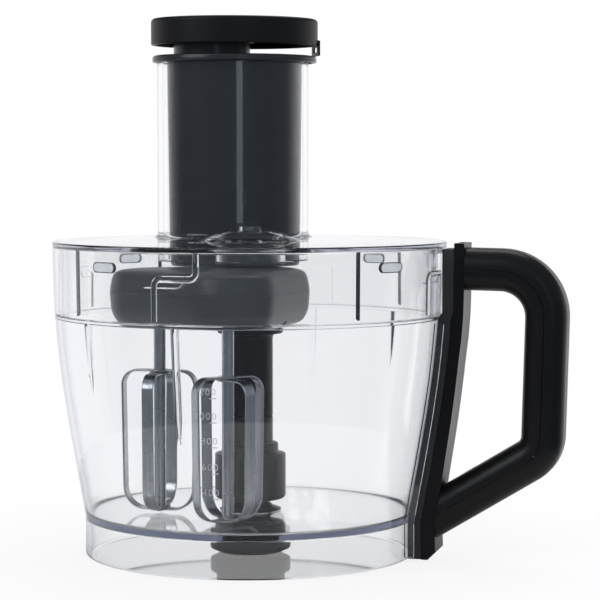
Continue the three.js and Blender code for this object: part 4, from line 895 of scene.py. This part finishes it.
def make_holder():
    """The tool holder: a fluted skirt, a stepped column and a splined spigot."""
    profile = [
        (4.3, 23.5), (8, 23.5, 0.4), (10.4, 25.9, 1), (13.3, 23.5, 0.6), (15.7, 23.5, 1.8),
        (15.7, 43.5, 0.7), (12.4, 43.7, 0.4), (12.4, 48.4, 1.1), (10, 48.4, 0.3),
        (10, 60, 0.4), (7.2, 60), (7.2, 90, 1.4), (0, 90), (0, 43.8), (4.3, 43.8),
    ]
    holder = lathe("holder_skin", profile)
    for k in range(6):
        spline = prism("spline", rectangle(6.2, 8.0, -1.1, 1.1), 59.5, 86)
        join(holder, place(bevel(spline, 0.2, 2), turn=60 * k))
        flute = lathe("flute", [(0, 26), (1.0, 27), (1.0, 41), (0, 42)], 24)
        cut(holder, place(flute, *polar(16.3, 60 * k + 30)))
    dress(holder, COLUMN, ["drive_shaft"], body="drive")


def make_sleeve_and_bush():
    """The whisk head's black sleeve, and the bearing in the bowl's floor."""
    sleeve = [
        (8.4, 60.3, 0.3), (10, 60.3, 0.4), (10, 96.8, 2.2), (14.5, 96.8, 0.8),
        (14.5, 104, 0.3), (8, 104), (8, 119.3, 0.6), (0, 119.3), (0, 90.4), (8.4, 90.4),
    ]
    dress(lathe("sleeve_skin", sleeve), BLACK, ["drive_sleeve"], body="drive")
    bush = [
        (4.15, 15.8), (12.6, 15.8), (12.6, 18.5), (13.8, 18.5, 0.2), (13.6, 18.8, 0.2),
        (10.4, 20, 1), (8, 22, 0.8), (8, 22.7), (4.15, 22.7),
    ]
    dress(lathe("bush_skin", bush), COLUMN, ["floor_bush"])


# ---- beaters


def strap_loop(name, tuck):
    """One flat strap bent into a loop, with soft edges, about its own shaft."""
    top, bottom = LOOP_BOTTOM + LOOP_HIGH - tuck, LOOP_BOTTOM + tuck
    mid = STRAP_T / 2
    wide, narrow = LOOP_HALF_TOP - mid, LOOP_HALF_LOW - mid
    corners = [
        (-wide, top - mid, BEND_TOP - mid), (wide, top - mid, BEND_TOP - mid),
        (narrow, bottom + mid, BEND_LOW - mid), (-narrow, bottom + mid, BEND_LOW - mid),
    ]
    path = resample(rounded(corners, True, 14), 4, closed=True)
    edges = rectangle(-STRAP_W / 2, STRAP_W / 2, -mid, mid, STRAP_EDGE)
    section = rounded(edges, True, 3)
    rings = []
    for i, point in enumerate(path):
        along = (path[(i + 1) % len(path)] - path[i - 1]).normalized()
        out = Vector((along.y, -along.x))
        rings.append([(point.x + out.x * s.y, s.x, point.y + out.y * s.y) for s in section])
    band = loft(name, rings, True)
    for low in (bottom, top - STRAP_T):
        high = low + STRAP_T
        eye = [(0, low), (EYE_R, low, 0.25), (EYE_R, high, 0.25), (0, high)]
        join(band, lathe("eye", eye, 48, 3))
    return cut(band, rod(EYE_HOLE, 0, 120, 48))


def make_beaters():
    """Two steel beaters, each a shaft with two loops crossed at a right angle."""
    shaft = [(0, 18.9), (1.8, 18.9, 0.4), (2.6, 19.7, 0.3), (2.6, 117.3, 0.8), (0, 117.3)]
    for i, turn in enumerate(BEATER_TURNS):
        x, y = polar(BEATER_DIST, turn)
        body = f"beater_{i + 1}"
        bar = place(lathe(f"{body}_rod", shaft, 48), x, y)
        dress(bar, STEEL, [f"{body}_shaft"], body=body)
        for part, tuck, extra in (("a", 0.0, 0), ("b", STRAP_T + SEAT_GAP, 90)):
            band = strap_loop(f"{body}_band_{part}", tuck)
            place(band, x, y, 0, LOOP_TURNS[i] + extra)
            dress(band, STEEL, [f"{body}_loop_{part}"], body=body)


# ---- spine and handle


def spine_inner(height):
    return wall_radius(height) + (0.3 if height < LEDGE else 0.9)


def spine_outer(height):
    return wall_radius(height) + SPINE_DEPTH


def cover_outer(height):
    """The cover's outer face, which swings smoothly out from the wall to the lid."""
    share = min(1, height / LEDGE)
    rise = max(0, min(1, (height - 84) / 36))
    wall = wall_radius(min(height, 105.9))
    wall += (LID_R - wall) * rise * rise * (3 - 2 * rise)
    return wall + COVER_BASE + (COVER_TOP - COVER_BASE) * share


def edge_line(reach, top=SPINE_TOP):
    """Points up the handle's side, at the reach that a function gives for each height."""
    return [(reach(z), z) for z in [*SIDE_HEIGHTS, *UPPER_HEIGHTS, top]]


def rod_groove(reach_in, reach_out):
    """The sloping space for the interlock rod, its spring and its head."""
    tilt = Matrix.Rotation(atan2(ROD_LEAN, RIM_TOP), 4, "Y")
    parts = []
    for half, low, high in ROD_SPACES:
        corners = rectangle(-max(half, reach_in), max(half, reach_out), low, high)
        groove = side_plate("groove", corners, -half, half)
        groove.data.transform(Matrix.Translation(Vector((ROD_FOOT, 0, 0)) * MM) @ tilt)
        parts.append(groove)
    return parts


def riser(name, outer, inner, half, groove, edge):
    """A piece up the bowl's side, with the space for the lid's tab and for the rod cut out."""
    piece = side_plate(name, outer + inner[::-1], -half, half)
    slot = side_plate("slot", rectangle(*TAB_SLOT), -5.9, 20)
    return bevel(cut(piece, slot, *rod_groove(*groove)), edge, 3, 40)


def make_spine():
    """The charcoal channel on the bowl's side, and the black cover that closes it."""
    outer = edge_line(lambda z: spine_outer(z) - SEAT_GAP, CHANNEL_TOP)
    inner = edge_line(spine_inner, CHANNEL_TOP)
    channel = riser("spine_skin", outer, inner, SPINE_HALF, (0, SPINE_DEPTH), 0.5)
    dress(channel, CHARCOAL, ["handle_spine"])
    outer = edge_line(cover_outer, STRIP_TOP)
    foot = outer[0][0]
    outer[0:1] = [(foot - 3.4, 0.5), (foot, 3.9)]
    inner = edge_line(spine_outer, STRIP_TOP)
    strip = riser("cover_skin", outer, inner, COVER_HALF, (SPINE_DEPTH, 0), 0.7)
    dress(strip, COVER, ["spine_cover"])


def handle_corners():
    """The grip's centre line, as (x, z, bend radius): top arm, grip, lower arm."""
    arm, foot = LID_TOP - 11.2, cover_outer(FOOT_Z)
    slope = (GRIP_LOW - FOOT_Z) / (GRIP_X - GRIP_LEAN - foot)
    return [
        (cover_outer(arm) - 4, arm), (GRIP_X + 0.6, arm - 0.7, 20),
        (GRIP_X - GRIP_LEAN, GRIP_LOW, 13), (foot - 8, FOOT_Z - 8 * slope),
    ]


def across_grip(start, end, share, radius, low, high):
    """A round bar square to one arm of the grip, from low to high out of its centre line."""
    corners = [Vector(corner[:2]) for corner in handle_corners()]
    spot = corners[start].lerp(corners[end], share)
    along = (corners[end] - corners[start]).normalized()
    bar = rod(radius, low, high, 40)
    tilt = Matrix.Rotation(atan2(-along.y, along.x), 4, "Y")
    bar.data.transform(Matrix.Translation(Vector((spot.x, 0, spot.y)) * MM) @ tilt)
    return bar


def grip_section():
    """The grip half's section: outer skin, soft seam lips and inner skin."""
    wide, thick, gap = GRIP_WIDE / 2, GRIP_THICK / 2, SEAM_HALF
    in_wide, in_thick, in_corner = wide - GRIP_WALL, thick - GRIP_WALL, GRIP_CORNER - GRIP_WALL
    outer = [
        (in_wide, gap), (wide, gap, SEAM_LIP), (wide, thick, GRIP_CORNER),
        (-wide, thick, GRIP_CORNER), (-wide, gap, SEAM_LIP), (-in_wide, gap),
    ]
    inner = [
        (-in_wide, gap), (-in_wide, in_thick, in_corner), (in_wide, in_thick, in_corner),
        (in_wide, gap),
    ]
    return rounded(outer, False, 9) + rounded(inner, False, 5)[1:-1]


def grip_half(name, inward):
    """Half of the hollow grip: inward 1 faces the fingers, -1 faces out."""
    path = resample(rounded(handle_corners(), False, 16), 3)
    section, rings = grip_section(), []
    for i, point in enumerate(path):
        along = heading(path, i)
        out = Vector((along.y, -along.x)) * inward
        rings.append([(point.x + out.x * s.y, s.x, point.y + out.y * s.y) for s in section])
    half = loft(name, rings)
    reach = GRIP_THICK / 2 - GRIP_WALL / 2
    low, high = (0.15, reach) if inward < 0 else (-reach, -0.15)
    for start, end, share in ((0, 1, 0.48), (2, 3, 0.5)):
        join(half, across_grip(start, end, share, 3.6, low, high))
        for radius, depth in ((1.75, 5.7), (3.3, -5.7)):
            cut(half, across_grip(start, end, share, radius, -20, depth))
    keep_out = edge_line(lambda z: cover_outer(z) + SEAT_GAP)
    block = [(keep_out[0][0], -60), *keep_out, (keep_out[-1][0], 200), (0, 200), (0, -60)]
    return cut(half, side_plate("block", block, -40, 40))


def make_handle():
    for side, inward in (("inner", 1), ("outer", -1)):
        half = grip_half(f"grip_{side}", inward)
        dress(half, BLACK, [f"handle_{side}_shell"])


# ---- marks on the wall


def wrap_on_wall(piece, height):
    """Lays a flat mesh (x across, y up, z out, in mm) on the bowl's wall."""
    for vertex in piece.data.vertices:
        x, y, z = vertex.co / MM
        radius = wall_radius(height + y) + MARK_LIFT + z
        spot = polar(radius, MARK_TURN + degrees(x / radius))
        vertex.co = Vector((*spot, height + y)) * MM
    return piece


def text_mesh(words):
    curve = bpy.data.curves.new("text", "FONT")
    curve.body = words
    curve.size = MARK_SIZE * MM
    curve.space_character = 1.22
    curve.offset = -0.00005
    curve.align_x, curve.align_y = "RIGHT", "CENTER"
    curve.extrude = MARK_RAISED * MM
    curve.resolution_u = 3
    text = add_object("text", curve)
    graph = bpy.context.evaluated_depsgraph_get()
    mesh = bpy.data.meshes.new_from_object(text.evaluated_get(graph))
    bpy.data.objects.remove(text)
    return mesh


def make_marks():
    """Raised characters and lines of the volume scale, moulded in the wall's own plastic."""
    line = rectangle(-TICK_LONG, 0, -TICK_HALF, TICK_HALF)
    for words, height in MARKS.items():
        mark = wrap_on_wall(add_object(f"mark_{words}", text_mesh(words)), height)
        tick = prism(f"tick_{words}", line, -MARK_RAISED, MARK_RAISED)
        for piece in (mark, wrap_on_wall(tick, height - TICK_DROP)):
            dress(piece, ETCHED)


# ---- carried-over nodes

NODE_FINISHES = (
    (STEEL_FINE, "rod_spring drive_spindle sleeve_clip beater_1_clip beater_2_clip"),
    (STEEL_FINE, "handle_screw_1 handle_screw_2 head_screw_1 head_screw_2 head_screw_3"),
    (NYLON, "beater_1_bush beater_2_bush beater_1_gear beater_2_gear sun_gear"),
    (GREY, "lid_bush"),
    (CHARCOAL, "interlock_rod"),
)


def dress_nodes():
    """Gives the nodes that stay as the solids are their finishes."""
    for finish, nodes in NODE_FINISHES:
        for node in nodes.split():
            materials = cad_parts[node].data.materials
            materials.clear()
            materials.append(finish)


# ---- studio

# (height, grey) stops of what is mirrored, behind the object and on the camera's side, of
# what is seen through clear plastic, and of what the camera sees.
BACKDROP_SKY = [(-0.6, 0.6), (-0.3, 1.0), (0.2, 1.0), (0.34, 0.16), (1, 0.14)]
ROOM_SKY = [(-0.7, 0.35), (-0.5, 0.24), (0.15, 0.24), (0.3, 0.42), (1, 0.45)]
THROUGH_SKY = [(-1, 1.0), (0.3, 1.0), (0.6, 0.35), (1, 0.35)]
WHITE_SKY = [(-1, 1.0), (1, 1.0)]
WHITE, COOL = (1, 1, 1.02), (0.88, 1.0, 1.14)
ROOM_LIGHT = {"Color": (0.96, 0.98, 1, 1), "Strength": 0.62}
GROUND_R, GROUND_Z, GROUND_GLOW, GROUND_SHINE = 0.23, -0.0003, 0.85, 0.8
UNDER_BOWL = 0.069
CAMERA_TURN = 16.0
CAMERA_DISTANCE, CAMERA_HEIGHT = 0.9513, 0.1720
CAMERA_PITCH, CAMERA_YAW = 3.652, 1.329
CAMERA_LENS, SENSOR = 129.11, 36.0


def around(turn, distance, height):
    """A place at an angle round the object, measured as the camera's is."""
    a = radians(turn)
    return Vector((sin(a) * distance, -cos(a) * distance, height))


def aim(thing, direction):
    thing.rotation_euler = direction.to_track_quat("-Z", "Y").to_euler()


def make_camera():
    data = bpy.data.cameras.new("camera")
    data.lens, data.sensor_width = CAMERA_LENS, SENSOR
    data.clip_start, data.clip_end = 0.01, 50
    camera = add_object("camera", data)
    camera.location = around(CAMERA_TURN, CAMERA_DISTANCE, CAMERA_HEIGHT)
    forward = -around(CAMERA_TURN, 1, 0)
    forward = Matrix.Rotation(radians(-CAMERA_YAW), 3, "Z") @ forward
    forward.z = -tan(radians(CAMERA_PITCH))
    aim(camera, forward)
    SCENE.camera = camera


def softbox(name, turn, distance, height, target, size, power, colour=(1, 1, 1), mirrored=True):
    """A soft rectangular lamp that looks at a height on the object's axis."""
    data = bpy.data.lights.new(name, "AREA")
    data.shape = "RECTANGLE"
    data.size, data.size_y = size
    data.energy, data.color = power, colour
    lamp = add_object(name, data)
    lamp.location = around(CAMERA_TURN + turn, distance, height)
    aim(lamp, Vector((0, 0, target)) - lamp.location)
    lamp.visible_glossy = lamp.visible_transmission = mirrored


def straight_through(g, ray):
    """1 where clear plastic is looked through with no reflection on the way."""
    turned = g.math("ADD", ray["Glossy Depth"], ray["Diffuse Depth"])
    return g.math("MULTIPLY", ray["Is Transmission Ray"], g.math("SUBTRACT", 1.0, turned))


def ground_material():
    """Pale and matt with a gloss under the bowl, and white where it is seen or looked through."""
    g = material_graph("white_floor")
    spot = g.add("TexCoord").outputs["Object"]
    out = g.add("VectorMath", spot, operation="LENGTH").outputs["Value"]
    gloss = g.spread(out, 0.04, 0.9, (UNDER_BOWL, 0.074))
    pale = g.add("BsdfPrincipled", (0.93, 0.93, 0.94, 1), IOR=1.6, Roughness=gloss)
    under = g.spread(out, GROUND_SHINE, 0.0, (UNDER_BOWL, 0.0695))
    glow = g.add("Emission", Strength=1.0).outputs[0]
    white = g.mix(under, glow, g.add("BsdfAnisotropic", Roughness=0.04).outputs[0])
    fade = g.spread(out, GROUND_GLOW, 1.0, (0.09, GROUND_R - 0.01), "SMOOTHSTEP")
    lit = g.spread(under, fade, 0.97, (0.0, GROUND_SHINE))
    ray = g.add("LightPath").outputs
    seen = g.math("MAXIMUM", ray["Is Camera Ray"], straight_through(g, ray))
    return g.end(g.mix(g.math("MULTIPLY", seen, lit), pale.outputs[0], white))


def make_ground(count=96):
    ring = [(*polar(GROUND_R, 360 * k / count), GROUND_Z) for k in range(count)]
    mesh = bpy.data.meshes.new("floor")
    mesh.from_pydata(ring, [], [tuple(range(count))])
    mesh.materials.append(ground_material())
    add_object("floor", mesh)


def sky(g, height, stops, tint=WHITE):
    """A grey that follows how high a ray looks, from (height, grey) stops."""
    ramp = g.add("ValToRGB", height)
    elements = ramp.color_ramp.elements
    for element, (position, grey) in zip((elements[0], elements[1]), (stops[0], stops[-1])):
        element.position = (position + 1) / 2
        element.color = (*scaled(tint, grey), 1)
    for position, grey in stops[1:-1]:
        elements.new((position + 1) / 2).color = (*scaled(tint, grey), 1)
    return ramp.outputs["Color"]


def make_world():
    """A plain light on the object, skies for what is mirrored or looked through, and white."""
    world = bpy.data.worlds.new("studio")
    SCENE.world = world
    g = Graph(world, "OutputWorld")
    ray = g.add("LightPath").outputs
    view = g.add("TexCoord").outputs["Generated"]
    height = g.spread(g.add("SeparateXYZ", view).outputs["Z"], 0.0, 1.0, (-1.0, 1.0))
    facing = g.dot(view, around(CAMERA_TURN, 1, 0))
    room_side = g.spread(facing, 0.0, 1.0, (-0.45, 0.15), "SMOOTHSTEP")
    sides = g.blend(room_side, sky(g, height, BACKDROP_SKY), sky(g, height, ROOM_SKY, COOL))
    undiffused = g.math("SUBTRACT", 1.0, ray["Diffuse Depth"])
    shader = g.add("Background", **ROOM_LIGHT).outputs[0]
    for share, colour in (
        (g.math("MULTIPLY", ray["Glossy Depth"], undiffused), sides),
        (straight_through(g, ray), sky(g, height, THROUGH_SKY)),
        (ray["Is Camera Ray"], sky(g, height, WHITE_SKY)),
    ):
        shader = g.mix(share, shader, g.add("Background", colour).outputs[0])
    g.end(shader)


def make_studio():
    make_camera()
    make_ground()
    make_world()
    softbox("key", -48, 1.3, 0.85, 0.1, (0.8, 0.8), 7.0)
    softbox("fill", 62, 1.3, 0.55, 0.1, (0.35, 0.9), 2.6, mirrored=False)
    softbox("strip", 15, 1.5, 0.6, 0.6, (0.2, 1.0), 0.9, (0.72, 0.84, 1.0))
    softbox("top", 170, 0.7, 1.2, 0.1, (0.9, 0.6), 4.5)
    SCENE.view_settings.view_transform = "Standard"
    SCENE.cycles.max_bounces = SCENE.cycles.transmission_bounces = 24
    SCENE.cycles.glossy_bounces = 12


make_studio()
make_bowl()
make_lugs()
make_lid()
make_main_pusher()
make_small_pusher()
make_cap()
make_tray()
make_head_cover()
make_coupling()
make_holder()
make_sleeve_and_bush()
make_beaters()
make_spine()
make_handle()
make_marks()
dress_nodes()
